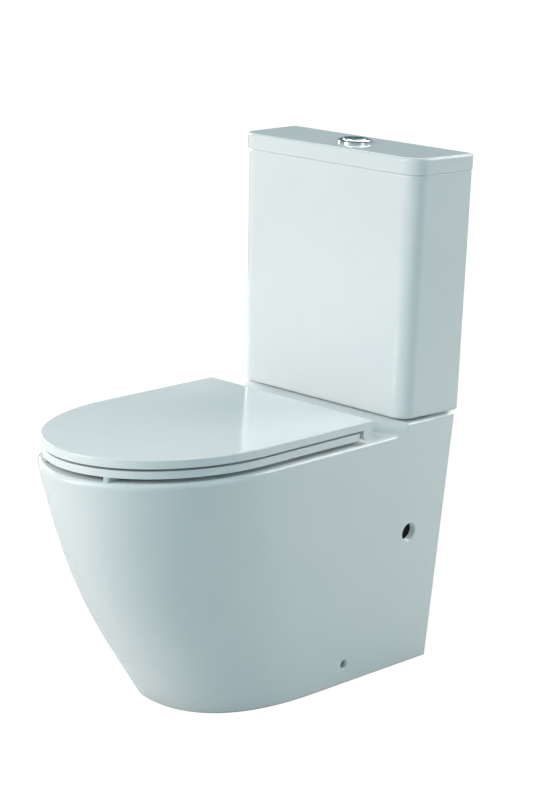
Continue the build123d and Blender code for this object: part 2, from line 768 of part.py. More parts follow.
with BuildPart() as flush_valve_core:
    add_tube(flush_centre, seat_lip_top, overflow_top, overflow_diameter)
    add_tube(flush_centre, seal_top, seal_top + core_disc_thickness, core_disc)
    add_tube(flush_centre, core_float_base, core_float_base + core_float_height, core_float_diameter)
    fillet(flush_valve_core.edges().filter_by(GeomType.CIRCLE).filter_by_position(
        Axis.Z, core_float_base - overlap, core_float_base + core_float_height + overlap).filter_by(
        lambda edge: edge.radius > core_float_diameter / 2 - overlap), radius=core_float_edge_radius)
    add_tube(flush_centre, seat_lip_top - overlap, overflow_top + overlap,
             overflow_diameter - 2 * overflow_wall, mode=Mode.SUBTRACT)
flush_valve_core.part.label = "flush_valve_core"
export_step(flush_valve_core.part, "parts/flush_valve_core.step")

with BuildPart() as flush_valve_seal:
    add_tube(flush_centre, seat_lip_top, seal_top, core_disc + 2 * seal_rim, overflow_diameter)
flush_valve_seal.part.label = "flush_valve_seal"
export_step(flush_valve_seal.part, "parts/flush_valve_seal.step")

# ---- fill valve ----
fill_flange_bottom = inside_floor + washer_thickness
fill_flange_top = fill_flange_bottom + fill_flange_thickness
fill_head_top = fill_riser_top + fill_head_height
lever_pivot_x = supply_x - lever_offset
lever_height = fill_head_top + lever_rise
link_x = lever_pivot_x + lever_length
lug_offset = (lever_width + lever_lug) / 2 + lever_side_gap

with BuildPart() as fill_valve_shank:
    add_tube(fill_centre, supply_end, fill_flange_bottom, supply_thread, fill_riser_bore)
    # relief groove between the free thread and the part that the back nut holds
    add_tube(fill_centre, tank_bottom - back_nut_height - thread_groove, tank_bottom - back_nut_height,
             supply_thread, supply_thread - thread_groove, mode=Mode.SUBTRACT)
    add_tube(fill_centre, fill_flange_bottom, fill_flange_top, fill_flange, fill_riser_bore)
fill_valve_shank.part.label = "fill_valve_shank"
export_step(fill_valve_shank.part, "parts/fill_valve_shank.step")

with BuildPart() as fill_valve_washer:
    add_tube(fill_centre, inside_floor, fill_flange_bottom, fill_flange - 2, supply_thread)
fill_valve_washer.part.label = "fill_valve_washer"
export_step(fill_valve_washer.part, "parts/fill_valve_washer.step")

with BuildPart() as fill_valve_back_nut:
    with BuildSketch(Plane.XY.offset(tank_bottom - back_nut_height)):
        with Locations(fill_centre):
            RegularPolygon(fill_flange / 2, hexagon)
            Circle(supply_thread / 2, mode=Mode.SUBTRACT)
    extrude(amount=back_nut_height)
fill_valve_back_nut.part.label = "fill_valve_back_nut"
export_step(fill_valve_back_nut.part, "parts/fill_valve_back_nut.step")

with BuildPart() as fill_valve_riser:
    add_tube(fill_centre, fill_flange_top, fill_riser_top, fill_riser_diameter, fill_riser_bore)
fill_valve_riser.part.label = "fill_valve_riser"
export_step(fill_valve_riser.part, "parts/fill_valve_riser.step")

with BuildPart() as fill_valve_head:
    add_tube(fill_centre, fill_riser_top, fill_head_top, fill_head_diameter)
    fillet(fill_valve_head.edges().group_by(Axis.Z)[-1], radius=fill_head_edge_radius)
    for side in (1, -1):
        add_block((lever_pivot_x, y_at(fill_distance + side * lug_offset)), fill_head_top - lever_thickness,
                  lever_height + lever_thickness, lever_width, lever_lug)
    add_along_y(lever_pivot_x, lever_height, fill_distance, lever_pin, 3 * lever_width, mode=Mode.SUBTRACT)
fill_valve_head.part.label = "fill_valve_head"
export_step(fill_valve_head.part, "parts/fill_valve_head.step")

with BuildPart() as fill_valve_float:
    add_tube(fill_centre, fill_float_top - fill_float_height, fill_float_top, fill_float_diameter)
    fillet(fill_valve_float.edges(), radius=fill_float_edge_radius)
    add_block(((link_x + link_cap + supply_x) / 2, y_at(fill_distance)), fill_float_top - fill_float_arm,
              fill_float_top, link_x + link_cap - supply_x, 2 * link_cap, corner=lever_corner)
    add_tube(fill_centre, fill_float_top - fill_float_height, fill_float_top,
             fill_riser_diameter + hole_clearance, mode=Mode.SUBTRACT)
fill_valve_float.part.label = "fill_valve_float"
export_step(fill_valve_float.part, "parts/fill_valve_float.step")

with BuildPart() as fill_valve_link:
    add_tube((link_x, y_at(fill_distance)), fill_float_top, lever_height + lever_thickness / 2 + link_play,
             link_diameter)
    add_tube((link_x, y_at(fill_distance)), lever_height + lever_thickness / 2 + link_play,
             lever_height + lever_thickness / 2 + link_play + link_cap_height, link_cap)
fill_valve_link.part.label = "fill_valve_link"
export_step(fill_valve_link.part, "parts/fill_valve_link.step")

with BuildPart() as fill_valve_lever:
    add_block(((lever_pivot_x + link_x + lever_nose - lever_tail) / 2, y_at(fill_distance)),
              lever_height - lever_thickness / 2, lever_height + lever_thickness / 2,
              lever_length + lever_nose + lever_tail, lever_width, corner=lever_corner)
    add_block((link_x, y_at(fill_distance)), lever_height - lever_thickness, lever_height + lever_thickness,
              link_slot, link_slot_width, corner=link_slot_corner, mode=Mode.SUBTRACT)
    add_along_y(lever_pivot_x, lever_height, fill_distance, lever_pin + lever_pin_clearance, 2 * lever_width,
                mode=Mode.SUBTRACT)
fill_valve_lever.part.label = "fill_valve_lever"
export_step(fill_valve_lever.part, "parts/fill_valve_lever.step")

with BuildPart() as fill_valve_lever_pin:
    add_along_y(lever_pivot_x, lever_height, fill_distance, lever_pin,
                lever_width + 2 * (lever_lug + lever_pin_end))
fill_valve_lever_pin.part.label = "fill_valve_lever_pin"
export_step(fill_valve_lever_pin.part, "parts/fill_valve_lever_pin.step")

# ---- close coupling ----
ledge_underside = platform_height - deck_thickness
coupling_washer_bottom = ledge_underside - metal_washer_thickness
bolt_centres = ((coupling_bolt_x, y_at(flush_distance)), (-coupling_bolt_x, y_at(flush_distance)))


def add_wing_nut(centre, top):
    """Hub with two raised wings in the open part block, under a given height."""
    add_tube(centre, top - wing_nut_height, top, wing_nut_hub)
    add_block(centre, top - wing_nut_height, top - wing_nut_height / 3, wing_span, wing_thickness,
              corner=wing_corner)


with BuildPart() as coupling_bolts:
    for centre in bolt_centres:
        add_tube(centre, coupling_bolt_end, inside_floor + washer_thickness, coupling_bolt)
        with BuildSketch(Plane.XY.offset(inside_floor + washer_thickness)) as head:
            with Locations(centre):
                RegularPolygon(bolt_head / 2, hexagon)
        extrude(amount=bolt_head_height)
coupling_bolts.part.label = "coupling_bolts"
export_step(coupling_bolts.part, "parts/coupling_bolts.step")

with BuildPart() as coupling_rubber_washers:
    for centre in bolt_centres:
        add_tube(centre, inside_floor, inside_floor + washer_thickness, rubber_washer, coupling_bolt)
coupling_rubber_washers.part.label = "coupling_rubber_washers"
export_step(coupling_rubber_washers.part, "parts/coupling_rubber_washers.step")

with BuildPart() as coupling_metal_washers:
    for centre in bolt_centres:
        add_tube(centre, coupling_washer_bottom, ledge_underside, metal_washer, coupling_bolt)
coupling_metal_washers.part.label = "coupling_metal_washers"
export_step(coupling_metal_washers.part, "parts/coupling_metal_washers.step")

with BuildPart() as coupling_wing_nuts:
    for centre in bolt_centres:
        add_wing_nut(centre, coupling_washer_bottom)
        add_tube(centre, coupling_washer_bottom - wing_nut_height, coupling_washer_bottom, coupling_bolt,
                 mode=Mode.SUBTRACT)
coupling_wing_nuts.part.label = "coupling_wing_nuts"
export_step(coupling_wing_nuts.part, "parts/coupling_wing_nuts.step")

# ---- seat ----
hinge_height = rim_height + hinge_rise
cover_bottom = rim_height + cover_lift
cover_top = cover_bottom + cover_thickness
cover_rear = hinge_distance - hinge_barrel
ring_bottom = rim_height + ring_lift
ring_top = ring_bottom + ring_thickness
recess_top = cover_bottom + cover_recess


def seat_outline(height, rear, inset=0):
    """D shaped outline of the seat: straight back and sides, a full round front."""
    half = seat_width / 2 - inset
    tip = seat_front - inset
    reach = seat_fullness * (tip - seat_straight)
    with BuildSketch(Plane.XY.offset(height)) as outline:
        with BuildLine():
            Line((half, y_at(rear)), (half, y_at(seat_straight)))
            Bezier((half, y_at(seat_straight)), (half, y_at(seat_straight + reach)),
                   (half * seat_fullness, y_at(tip)), (0, y_at(tip)))
            mirror(about=Plane.YZ)
            Line((-half, y_at(rear)), (half, y_at(rear)))
        make_face()
        fillet(outline.vertices().group_by(Axis.Y)[-1], radius=seat_rear_corner)
    return outline.sketch


with BuildPart() as seat_cover:
    # the D shaped block, cut to a thin plate with a rail along its back
    extrude(seat_outline(hinge_height - hinge_barrel, cover_rear),
            amount=cover_top - hinge_height + hinge_barrel)
    with BuildSketch(Plane.YZ):
        with Locations(((y_at(cover_rear) + y_at(seat_front)) / 2, (cover_bottom + cover_top) / 2)):
            Rectangle(seat_front - cover_rear + overlap, cover_thickness)
        with Locations((y_at(hinge_distance), hinge_height)):
            Circle(hinge_barrel)
        with Locations((y_at(hinge_distance), (hinge_height + cover_top) / 2)):
            Rectangle(2 * hinge_barrel, cover_top - hinge_height)
    extrude(amount=seat_width, both=True, mode=Mode.INTERSECT)
    fillet(seat_cover.edges().group_by(Axis.Z)[-1], radius=cover_edge_radius)
    add(seat_outline(cover_bottom, ring_rear + cover_rim, inset=cover_rim))
    extrude(amount=cover_recess, mode=Mode.SUBTRACT)
    for side in (1, -1):
        # open notch for the post and the ring lug, and a blind bore for the damper
        add_block((side * (notch_inner_x + notch_outer_x) / 2, y_at(hinge_distance)),
                  hinge_height - hinge_barrel - overlap, hinge_height + notch_roof,
                  notch_outer_x - notch_inner_x, 2 * (hinge_barrel + notch_reach), mode=Mode.SUBTRACT)
        add_cross_tube(side * (notch_outer_x - overlap), side * damper_outer_x, hinge_distance, hinge_height,
                       damper_diameter + 2 * pin_clearance, mode=Mode.SUBTRACT)
seat_cover.part.label = "seat_cover"
export_step(seat_cover.part, "parts/seat_cover.step")

with BuildPart() as seat_ring:
    add(seat_outline(ring_bottom, ring_rear, inset=ring_setback))
    extrude(amount=ring_thickness)
    with BuildSketch(Plane.XY.offset(ring_bottom)):
        with Locations((0, y_at((mouth_back + mouth_front) / 2))):
            Ellipse(mouth_width / 2, (mouth_front - mouth_back) / 2)
    extrude(amount=ring_thickness, mode=Mode.SUBTRACT)
    top_edges = seat_ring.edges().group_by(Axis.Z)[-1]
    mouth_edge = top_edges.filter_by(GeomType.ELLIPSE)
    fillet(mouth_edge, radius=ring_mouth_radius)
    fillet(seat_ring.edges().group_by(Axis.Z)[-1].filter_by(
        lambda edge: edge.bounding_box().size.X > mouth_width or abs(edge.center().X) > mouth_width / 2),
        radius=ring_edge_radius)
    for side in (1, -1):
        with BuildSketch(Plane.YZ.offset(side * (lug_inner_x + lug_outer_x) / 2)):
            with Locations((y_at(hinge_distance), hinge_height)):
                Circle(lug_barrel)
            with Locations((y_at((hinge_distance + lug_root) / 2), (ring_top + hinge_height - lug_depth) / 2)):
                Rectangle(lug_root - hinge_distance, ring_top - hinge_height + lug_depth)
        extrude(amount=(lug_outer_x - lug_inner_x) / 2, both=True)
        add_cross_tube(side * (lug_inner_x - overlap), side * (lug_outer_x + overlap), hinge_distance,
                       hinge_height, pin_diameter + 2 * pin_clearance, mode=Mode.SUBTRACT)
seat_ring.part.label = "seat_ring"
export_step(seat_ring.part, "parts/seat_ring.step")


def add_hinge_post(side):
    """Base disc, stem and barrel of one hinge post in the open part block."""
    centre = (side * seat_bolt_x, y_at(hinge_distance))
    add_tube(centre, rim_height, rim_height + post_base_thickness, post_base)
    add_block(centre, rim_height, hinge_height, post_width, post_depth)
    add_cross_tube(side * seat_bolt_x - post_width / 2, side * seat_bolt_x + post_width / 2, hinge_distance,
                   hinge_height, 2 * post_barrel)
    add_cross_tube(side * seat_bolt_x - post_width, side * seat_bolt_x + post_width, hinge_distance,
                   hinge_height, pin_diameter, mode=Mode.SUBTRACT)


with BuildPart() as left_hinge_post:
    add_hinge_post(-1)
left_hinge_post.part.label = "left_hinge_post"
export_step(left_hinge_post.part, "parts/left_hinge_post.step")

with BuildPart() as right_hinge_post:
    add_hinge_post(1)
right_hinge_post.part.label = "right_hinge_post"
export_step(right_hinge_post.part, "parts/right_hinge_post.step")

with BuildPart() as hinge_pins:
    add_cross_tube(pin_inner_x, pin_outer_x, hinge_distance, hinge_height, pin_diameter)
    add_cross_tube(-pin_outer_x, -pin_inner_x, hinge_distance, hinge_height, pin_diameter)
hinge_pins.part.label = "hinge_pins"
export_step(hinge_pins.part, "parts/hinge_pins.step")

with BuildPart() as left_hinge_damper:
    add_cross_tube(-damper_outer_x, -damper_inner_x, hinge_distance, hinge_height, damper_diameter,
                   pin_diameter + 2 * pin_clearance)
left_hinge_damper.part.label = "left_hinge_damper"
export_step(left_hinge_damper.part, "parts/left_hinge_damper.step")

with BuildPart() as right_hinge_damper:
    add_cross_tube(damper_inner_x, damper_outer_x, hinge_distance, hinge_height, damper_diameter,
                   pin_diameter + 2 * pin_clearance)
right_hinge_damper.part.label = "right_hinge_damper"
export_step(right_hinge_damper.part, "parts/right_hinge_damper.step")

# ---- seat fixings ----
seat_bolt_centres = ((seat_bolt_x, y_at(hinge_distance)), (-seat_bolt_x, y_at(hinge_distance)))
bung_bottom = roof - bung_flange_thickness

with BuildPart() as seat_bolts:
    for centre in seat_bolt_centres:
        add_tube(centre, seat_bolt_end, rim_height, seat_bolt)
seat_bolts.part.label = "seat_bolts"
export_step(seat_bolts.part, "parts/seat_bolts.step")

with BuildPart() as seat_bolt_bungs:
    for centre in seat_bolt_centres:
        add_tube(centre, bung_bottom, roof, bung_flange, seat_bolt)
        add_tube(centre, roof, rim_height - bung_recess, seat_bolt_hole, seat_bolt)
seat_bolt_bungs.part.label = "seat_bolt_bungs"
export_step(seat_bolt_bungs.part, "parts/seat_bolt_bungs.step")

with BuildPart() as seat_bolt_nuts:
    for centre in seat_bolt_centres:
        add_tube(centre, bung_bottom - seat_nut_height, bung_bottom, seat_nut_diameter)
    chamfer(seat_bolt_nuts.edges().group_by(Axis.Z)[0], length=seat_nut_chamfer)
    for centre in seat_bolt_centres:
        add_tube(centre, bung_bottom - seat_nut_height, bung_bottom, seat_bolt, mode=Mode.SUBTRACT)
seat_bolt_nuts.part.label = "seat_bolt_nuts"
export_step(seat_bolt_nuts.part, "parts/seat_bolt_nuts.step")

with BuildPart() as cover_buffers:
    for x, distance in ((-cover_buffer_side, cover_buffer_distance),
                        (cover_buffer_side, cover_buffer_distance),
                        (-cover_buffer_front_side, cover_buffer_front),
                        (cover_buffer_front_side, cover_buffer_front)):
        add_block((x, y_at(distance)), ring_top, recess_top, cover_buffer_width, cover_buffer_length,
                  corner=buffer_corner)
cover_buffers.part.label = "cover_buffers"
export_step(cover_buffers.part, "parts/cover_buffers.step")

with BuildPart() as seat_buffers:
    for x, distance in ((-seat_buffer_side, seat_buffer_distance),
                        (seat_buffer_side, seat_buffer_distance),
                        (-seat_buffer_front_side, seat_buffer_front),
                        (seat_buffer_front_side, seat_buffer_front)):
        add_block((x, y_at(distance)), rim_height, ring_bottom, seat_buffer_width, seat_buffer_length,
                  corner=buffer_corner)
seat_buffers.part.label = "seat_buffers"
export_step(seat_buffers.part, "parts/seat_buffers.step")

# ---- floor fixing ----


def skirt_half_width(distance, height):
    """Half width of the skirt at a distance from the wall, below the first step of the profile."""
    share = height / platform_height
    half_back = foot_width / 2 + (half_pan - foot_width / 2) * share
    low, high = pan_profile[0][1], pan_profile[1][1]
    half_side = half_pan * (low + (high - low) * share * (len(pan_profile) - 1))
    straight = side_straight_foot + (side_straight_rim - side_straight_foot) * share
    return half_back + (half_side - half_back) * distance / straight


bracket_outer_x = skirt_half_width(fixing_distance + bracket_width / 2, 0) - skirt_wall - bracket_gap
sleeve_outer_x = skirt_half_width(fixing_distance, fixing_height) - skirt_wall

with BuildPart() as floor_brackets:
    for side in (1, -1):
        add_block((side * (bracket_outer_x - bracket_foot / 2), y_at(fixing_distance)), 0, bracket_thickness,
                  bracket_foot, bracket_width)
        add_block((side * (bracket_outer_x - bracket_thickness / 2), y_at(fixing_distance)), 0, bracket_height,
                  bracket_thickness, bracket_width)
        with Locations((side * (bracket_outer_x - bracket_foot / 2 - bracket_thickness), y_at(fixing_distance),
                        bracket_thickness)):
            Hole(bracket_bore / 2, depth=bracket_thickness)
        add_cross_tube(side * (bracket_outer_x + overlap),
                       side * (bracket_outer_x - bracket_thickness - overlap), fixing_distance,
                       fixing_height, side_screw, mode=Mode.SUBTRACT)
floor_brackets.part.label = "floor_brackets"
export_step(floor_brackets.part, "parts/floor_brackets.step")

with BuildPart() as side_screws:
    for side in (1, -1):
        add_cross_tube(side * (bracket_outer_x - bracket_thickness - side_screw_end), side * sleeve_outer_x,
                       fixing_distance, fixing_height, side_screw)
        add_cross_tube(side * sleeve_outer_x, side * (sleeve_outer_x + side_screw_head_height), fixing_distance,
                       fixing_height, side_screw_head)
side_screws.part.label = "side_screws"
export_step(side_screws.part, "parts/side_screws.step")

with BuildPart() as side_screw_sleeves:
    for side in (1, -1):
        add_cross_tube(side * bracket_outer_x, side * sleeve_outer_x, fixing_distance, fixing_height,
                       fixing_hole - 2 * sleeve_clearance, side_screw)
side_screw_sleeves.part.label = "side_screw_sleeves"
export_step(side_screw_sleeves.part, "parts/side_screw_sleeves.step")
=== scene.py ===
"""Looks of a close coupled toilet: glaze, plastics, metals and the small moulded details.

Everything is in metres. The floor is z = 0, the front faces -Y and the wall is on the +Y side.
"""

import logging
import math
from collections.abc import Callable, Mapping
from dataclasses import dataclass, field
from enum import Enum

import bpy
from mathutils import Matrix, Vector

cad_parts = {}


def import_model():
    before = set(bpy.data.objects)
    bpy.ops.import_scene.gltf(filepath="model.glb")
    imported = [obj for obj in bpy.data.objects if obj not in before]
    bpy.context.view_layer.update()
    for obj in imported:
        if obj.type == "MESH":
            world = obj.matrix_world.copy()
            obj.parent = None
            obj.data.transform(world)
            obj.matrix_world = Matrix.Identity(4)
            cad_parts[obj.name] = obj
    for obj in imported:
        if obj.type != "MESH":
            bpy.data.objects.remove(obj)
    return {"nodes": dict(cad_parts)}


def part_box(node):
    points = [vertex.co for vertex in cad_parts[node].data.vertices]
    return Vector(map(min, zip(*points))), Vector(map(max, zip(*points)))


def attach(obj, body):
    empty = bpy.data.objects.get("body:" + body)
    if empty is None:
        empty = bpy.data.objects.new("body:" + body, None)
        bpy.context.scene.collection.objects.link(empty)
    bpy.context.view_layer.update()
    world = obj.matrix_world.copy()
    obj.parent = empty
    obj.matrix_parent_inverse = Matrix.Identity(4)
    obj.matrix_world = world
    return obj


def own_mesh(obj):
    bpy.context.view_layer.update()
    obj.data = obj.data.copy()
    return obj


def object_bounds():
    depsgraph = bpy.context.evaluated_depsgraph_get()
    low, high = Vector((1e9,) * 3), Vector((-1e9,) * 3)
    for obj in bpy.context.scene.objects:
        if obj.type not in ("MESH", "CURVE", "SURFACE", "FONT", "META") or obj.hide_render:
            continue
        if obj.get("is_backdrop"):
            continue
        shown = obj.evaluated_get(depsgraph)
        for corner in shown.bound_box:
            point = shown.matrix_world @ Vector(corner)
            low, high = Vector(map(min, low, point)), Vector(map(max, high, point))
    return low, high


log = logging.getLogger("toilet")

Colour = tuple[float, float, float]
Point = tuple[float, float, float]


class Body(Enum):
    """The moving bodies that a piece can ride on."""

    ROOT = "root"
    SEAT = "seat"
    COVER = "cover"
    LID = "lid"
    FULL_BUTTON = "full_button"
    HALF_BUTTON = "half_button"
    FULL_PLUNGER = "full_plunger"
    HALF_PLUNGER = "half_plunger"
    FLUSH_CORE = "flush_core"
    FLOAT = "float"
    FILL_LEVER = "fill_lever"


class Slot(Enum):
    """The finishes that the part's record names."""

    GLAZE = "glaze"
    SEAT_PLASTIC = "seat_plastic"
    CHROME = "chrome"
    STEEL = "steel"
    RUBBER = "rubber"
    VALVE_WHITE = "valve_white"
    VALVE_BLUE = "valve_blue"
    VALVE_GREY = "valve_grey"


# ---- node benches -------------------------------------------------------------------


class NodeBench:
    """Adds, sets and wires the nodes of one shader or geometry tree."""

    def __init__(self, tree: bpy.types.NodeTree) -> None:
        """Keep the tree to work on."""
        self.tree = tree

    def feed(self, socket: bpy.types.NodeSocket, value: object) -> None:
        """Give an input socket a value or a link.

        Args:
            socket: The input to feed.
            value: Another node's output, or a plain value.
        """
        if isinstance(value, bpy.types.NodeSocket):
            self.tree.links.new(value, socket)
        else:
            socket.default_value = value

    def add(self, kind: str, inputs: Mapping[str | int, object] | None = None,
            **settings: object) -> bpy.types.Node:
        """Add a node.

        Args:
            kind: The node's type name.
            inputs: Values or links for its inputs, by name or index.
            **settings: Plain attributes of the node.

        Returns:
            The new node.
        """
        node = self.tree.nodes.new(kind)
        for name, value in settings.items():
            setattr(node, name, value)
        for key, value in (inputs or {}).items():
            self.feed(node.inputs[key], value)
        return node

    def math(self, operation: str, first: object, second: object = 0.0,
             third: object = 0.0) -> bpy.types.NodeSocket:
        """Add a Math node.

        Args:
            operation: What it works out.
            first: First value or link.
            second: Second value or link.
            third: Third value or link.

        Returns:
            Its value output.
        """
        node = self.add("ShaderNodeMath", {0: first, 1: second, 2: third}, operation=operation)
        return node.outputs[0]


class ShaderBench(NodeBench):
    """A node bench with the few shader nodes that every finish uses."""

    def blend(self, factor: object, low: object, high: object) -> bpy.types.NodeSocket:
        """Mix two colours.

        Args:
            factor: 0 gives the first colour and 1 the second.
            low: First colour or link.
            high: Second colour or link.

        Returns:
            The mixed colour output.
        """
        node = self.add("ShaderNodeMix", {0: factor, 6: _rgba(low), 7: _rgba(high)}, data_type="RGBA")
        return node.outputs[2]

    def span(self, value: object, low: float, high: float) -> bpy.types.NodeSocket:
        """Stretch a value from 0..1 to a range.

        Args:
            value: The value or link.
            low: What 0 becomes.
            high: What 1 becomes.

        Returns:
            The stretched value output.
        """
        node = self.add("ShaderNodeMapRange", {"Value": value, "To Min": low, "To Max": high})
        return node.outputs[0]

    def step(self, value: object, start: object, end: object) -> bpy.types.NodeSocket:
        """Soft step from 0 to 1.

        Args:
            value: The value or link.
            start: Where it is still 0.
            end: Where it has become 1.

        Returns:
            The step's value output.
        """
        node = self.add("ShaderNodeMapRange", {"Value": value, "From Min": start, "From Max": end},
                        interpolation_type="SMOOTHSTEP")
        return node.outputs[0]

    def noise(self, length: object, detail: float = 2.0, vector: object = None) -> bpy.types.NodeSocket:
        """Soft noise in Object coordinates.

        Args:
            length: Size of its blotches.
            detail: Octaves of finer noise.
            vector: Coordinates to use in place of Object coordinates.

        Returns:
            The noise value output.
        """
        place = self.place() if vector is None else vector
        scale = self.math("DIVIDE", 1.0, length)
        return self.add("ShaderNodeTexNoise", {"Vector": place, "Scale": scale, "Detail": detail}).outputs[0]

    def place(self) -> bpy.types.NodeSocket:
        """Object coordinates of the surface."""
        return self.add("ShaderNodeTexCoord").outputs["Object"]

    def stretched(self, scale: Point) -> bpy.types.NodeSocket:
        """Object coordinates stretched along the axes by the inverse of a scale."""
        return self.add("ShaderNodeMapping", {"Vector": self.place(), "Scale": scale}).outputs[0]

    def bump(self, height: object) -> bpy.types.NodeSocket:
        """Turn a height in metres into a normal."""
        return self.add("ShaderNodeBump", {"Height": height, "Strength": 1.0, "Distance": 1.0}).outputs[0]


def _rgba(colour: object) -> object:
    """Give a plain three part colour its alpha, and pass links on."""
    return (*colour, 1.0) if isinstance(colour, tuple) and len(colour) == 3 else colour


# ---- shared shader effects ----------------------------------------------------------


class Effects:
    """Shader node groups that several finishes share, each built once."""

    def __init__(self) -> None:
        """Start with no group built."""
        self._built: dict[str, bpy.types.NodeTree] = {}

    def use(self, bench: ShaderBench, effect: Callable[[ShaderBench, Mapping], dict],
            values: Mapping[str, object]) -> bpy.types.bpy_prop_collection:
        """Place an effect in a material.

        Args:
            bench: The material's bench.
            effect: The function that describes the effect.
            values: A value for each of the group's named inputs.

        Returns:
            The placed group's outputs.
        """
        name = effect.__name__
        if name not in self._built:
            self._built[name] = self._build(name, effect, values)
        node = bench.add("ShaderNodeGroup", node_tree=self._built[name])
        for key, value in values.items():
            bench.feed(node.inputs[key], value)
        return node.outputs

    def _build(self, name: str, effect: Callable[[ShaderBench, Mapping], dict],
               values: Mapping[str, object]) -> bpy.types.NodeTree:
        """Make the node group of one effect.

        Args:
            name: The group's name.
            effect: The function that describes the effect.
            values: The inputs, which give the names of its sockets.

        Returns:
            The finished node group.
        """
        tree = bpy.data.node_groups.new(name, "ShaderNodeTree")
        for key in values:
            tree.interface.new_socket(key, in_out="INPUT", socket_type="NodeSocketFloat")
        bench = ShaderBench(tree)
        source = bench.add("NodeGroupInput")
        results = effect(bench, {key: source.outputs[key] for key in values})
        for key in results:
            tree.interface.new_socket(key, in_out="OUTPUT", socket_type="NodeSocketFloat")
        bench.add("NodeGroupOutput", results)
        return tree


def glaze_ripple(bench: ShaderBench, given: Mapping[str, bpy.types.NodeSocket]) -> dict:
    """Slow waves and fine orange peel that glaze and polished plastic keep from setting.

    Args:
        bench: The group's bench.
        given: Wave Length, Peel Length and Depth, all in metres.

    Returns:
        Height in metres, and a slow Pooling mask.
    """
    wave = bench.noise(given["Wave Length"], detail=1.0)
    peel = bench.noise(given["Peel Length"], detail=2.0)
    both = bench.math("MULTIPLY_ADD", peel, 0.16, wave)
    pool_length = bench.math("MULTIPLY", given["Wave Length"], 4.0)
    pooling = bench.step(bench.noise(pool_length, detail=3.0), 0.35, 0.65)
    return {"Height": bench.math("MULTIPLY", both, given["Depth"]), "Pooling": pooling}


def pin_specks(bench: ShaderBench, given: Mapping[str, bpy.types.NodeSocket]) -> dict:
    """Rare tiny round specks.

    Args:
        bench: The group's bench.
        given: Spacing and Size in metres, and Share, the part of the places that has one.

    Returns:
        The specks' Mask.
    """
    scale = bench.math("DIVIDE", 1.0, given["Spacing"])
    cells = bench.add("ShaderNodeTexVoronoi", {"Vector": bench.place(), "Scale": scale})
    lot = bench.add("ShaderNodeTexWhiteNoise", {"Vector": cells.outputs["Position"]}).outputs["Value"]
    chosen = bench.math("LESS_THAN", lot, given["Share"])
    reach = bench.math("MULTIPLY", given["Size"], scale)
    near = bench.step(cells.outputs["Distance"], reach, bench.math("MULTIPLY", reach, 0.4))
    return {"Mask": bench.math("MULTIPLY", chosen, near)}


def mould_grain(bench: ShaderBench, given: Mapping[str, bpy.types.NodeSocket]) -> dict:
    """Fine grain and slow flow marks of a moulding.

    Args:
        bench: The group's bench.
        given: Grain Size, Flow Length and Depth in metres.

    Returns:
        Height in metres, a fine Grain value and a slow Flow value.
    """
    grain = bench.noise(given["Grain Size"], detail=3.0)
    flow = bench.noise(given["Flow Length"], detail=2.0, vector=bench.stretched((1.0, 1.0, 0.25)))
    return {"Height": bench.math("MULTIPLY", grain, given["Depth"]), "Grain": grain, "Flow": flow}


def hairline_scratches(bench: ShaderBench, given: Mapping[str, bpy.types.NodeSocket]) -> dict:
    """Fine scratches in two directions.

    Args:
        bench: The group's bench.
        given: Spacing in metres and Amount from 0 to 1.

    Returns:
        The scratches' Mask.
    """
    masks = []
    for scale in ((1.0, 0.04, 0.04), (0.06, 1.0, 0.5)):
        lines = bench.noise(given["Spacing"], detail=1.0, vector=bench.stretched(scale))
        masks.append(bench.step(lines, 0.62, 0.72))
    return {"Mask": bench.math("MULTIPLY", bench.math("MAXIMUM", *masks), given["Amount"])}


def settled_dust(bench: ShaderBench, given: Mapping[str, bpy.types.NodeSocket]) -> dict:
    """Thin uneven dust on what faces up.

    Args:
        bench: The group's bench.
        given: Patch Size in metres and Amount from 0 to 1.

    Returns:
        The dust's Mask.
    """
    normal = bench.add("ShaderNodeNewGeometry").outputs["Normal"]
    up = bench.add("ShaderNodeSeparateXYZ", {0: normal}).outputs[2]
    patches = bench.noise(given["Patch Size"], detail=4.0)
    mask = bench.math("MULTIPLY", bench.step(up, 0.55, 0.98), bench.step(patches, 0.35, 0.75))
    return {"Mask": bench.math("MULTIPLY", mask, given["Amount"])}


def low_band(bench: ShaderBench, given: Mapping[str, bpy.types.NodeSocket]) -> dict:
    """Everything below a level, with a slightly ragged edge.

    Args:
        bench: The group's bench.
        given: Level, Raggedness and Softness in metres.

    Returns:
        The band's Mask.
    """
    height = bench.add("ShaderNodeSeparateXYZ", {0: bench.place()}).outputs[2]
    ragged = bench.math("MULTIPLY", bench.noise(0.006, detail=3.0), given["Raggedness"])
    edge = bench.math("ADD", given["Level"], ragged)
    return {"Mask": bench.step(height, bench.math("ADD", edge, given["Softness"]), edge)}


# ---- repeated shapes -----------------------------------------------------------------

Pattern = Callable[[NodeBench, Mapping[str, bpy.types.NodeSocket]], bpy.types.NodeSocket]

RIDGE_SIDES = 64
RIDGE_PROFILE_SIDES = 8
RIB_SIDES = 16
SPRING_STEPS = 32
WIRE_SIDES = 10


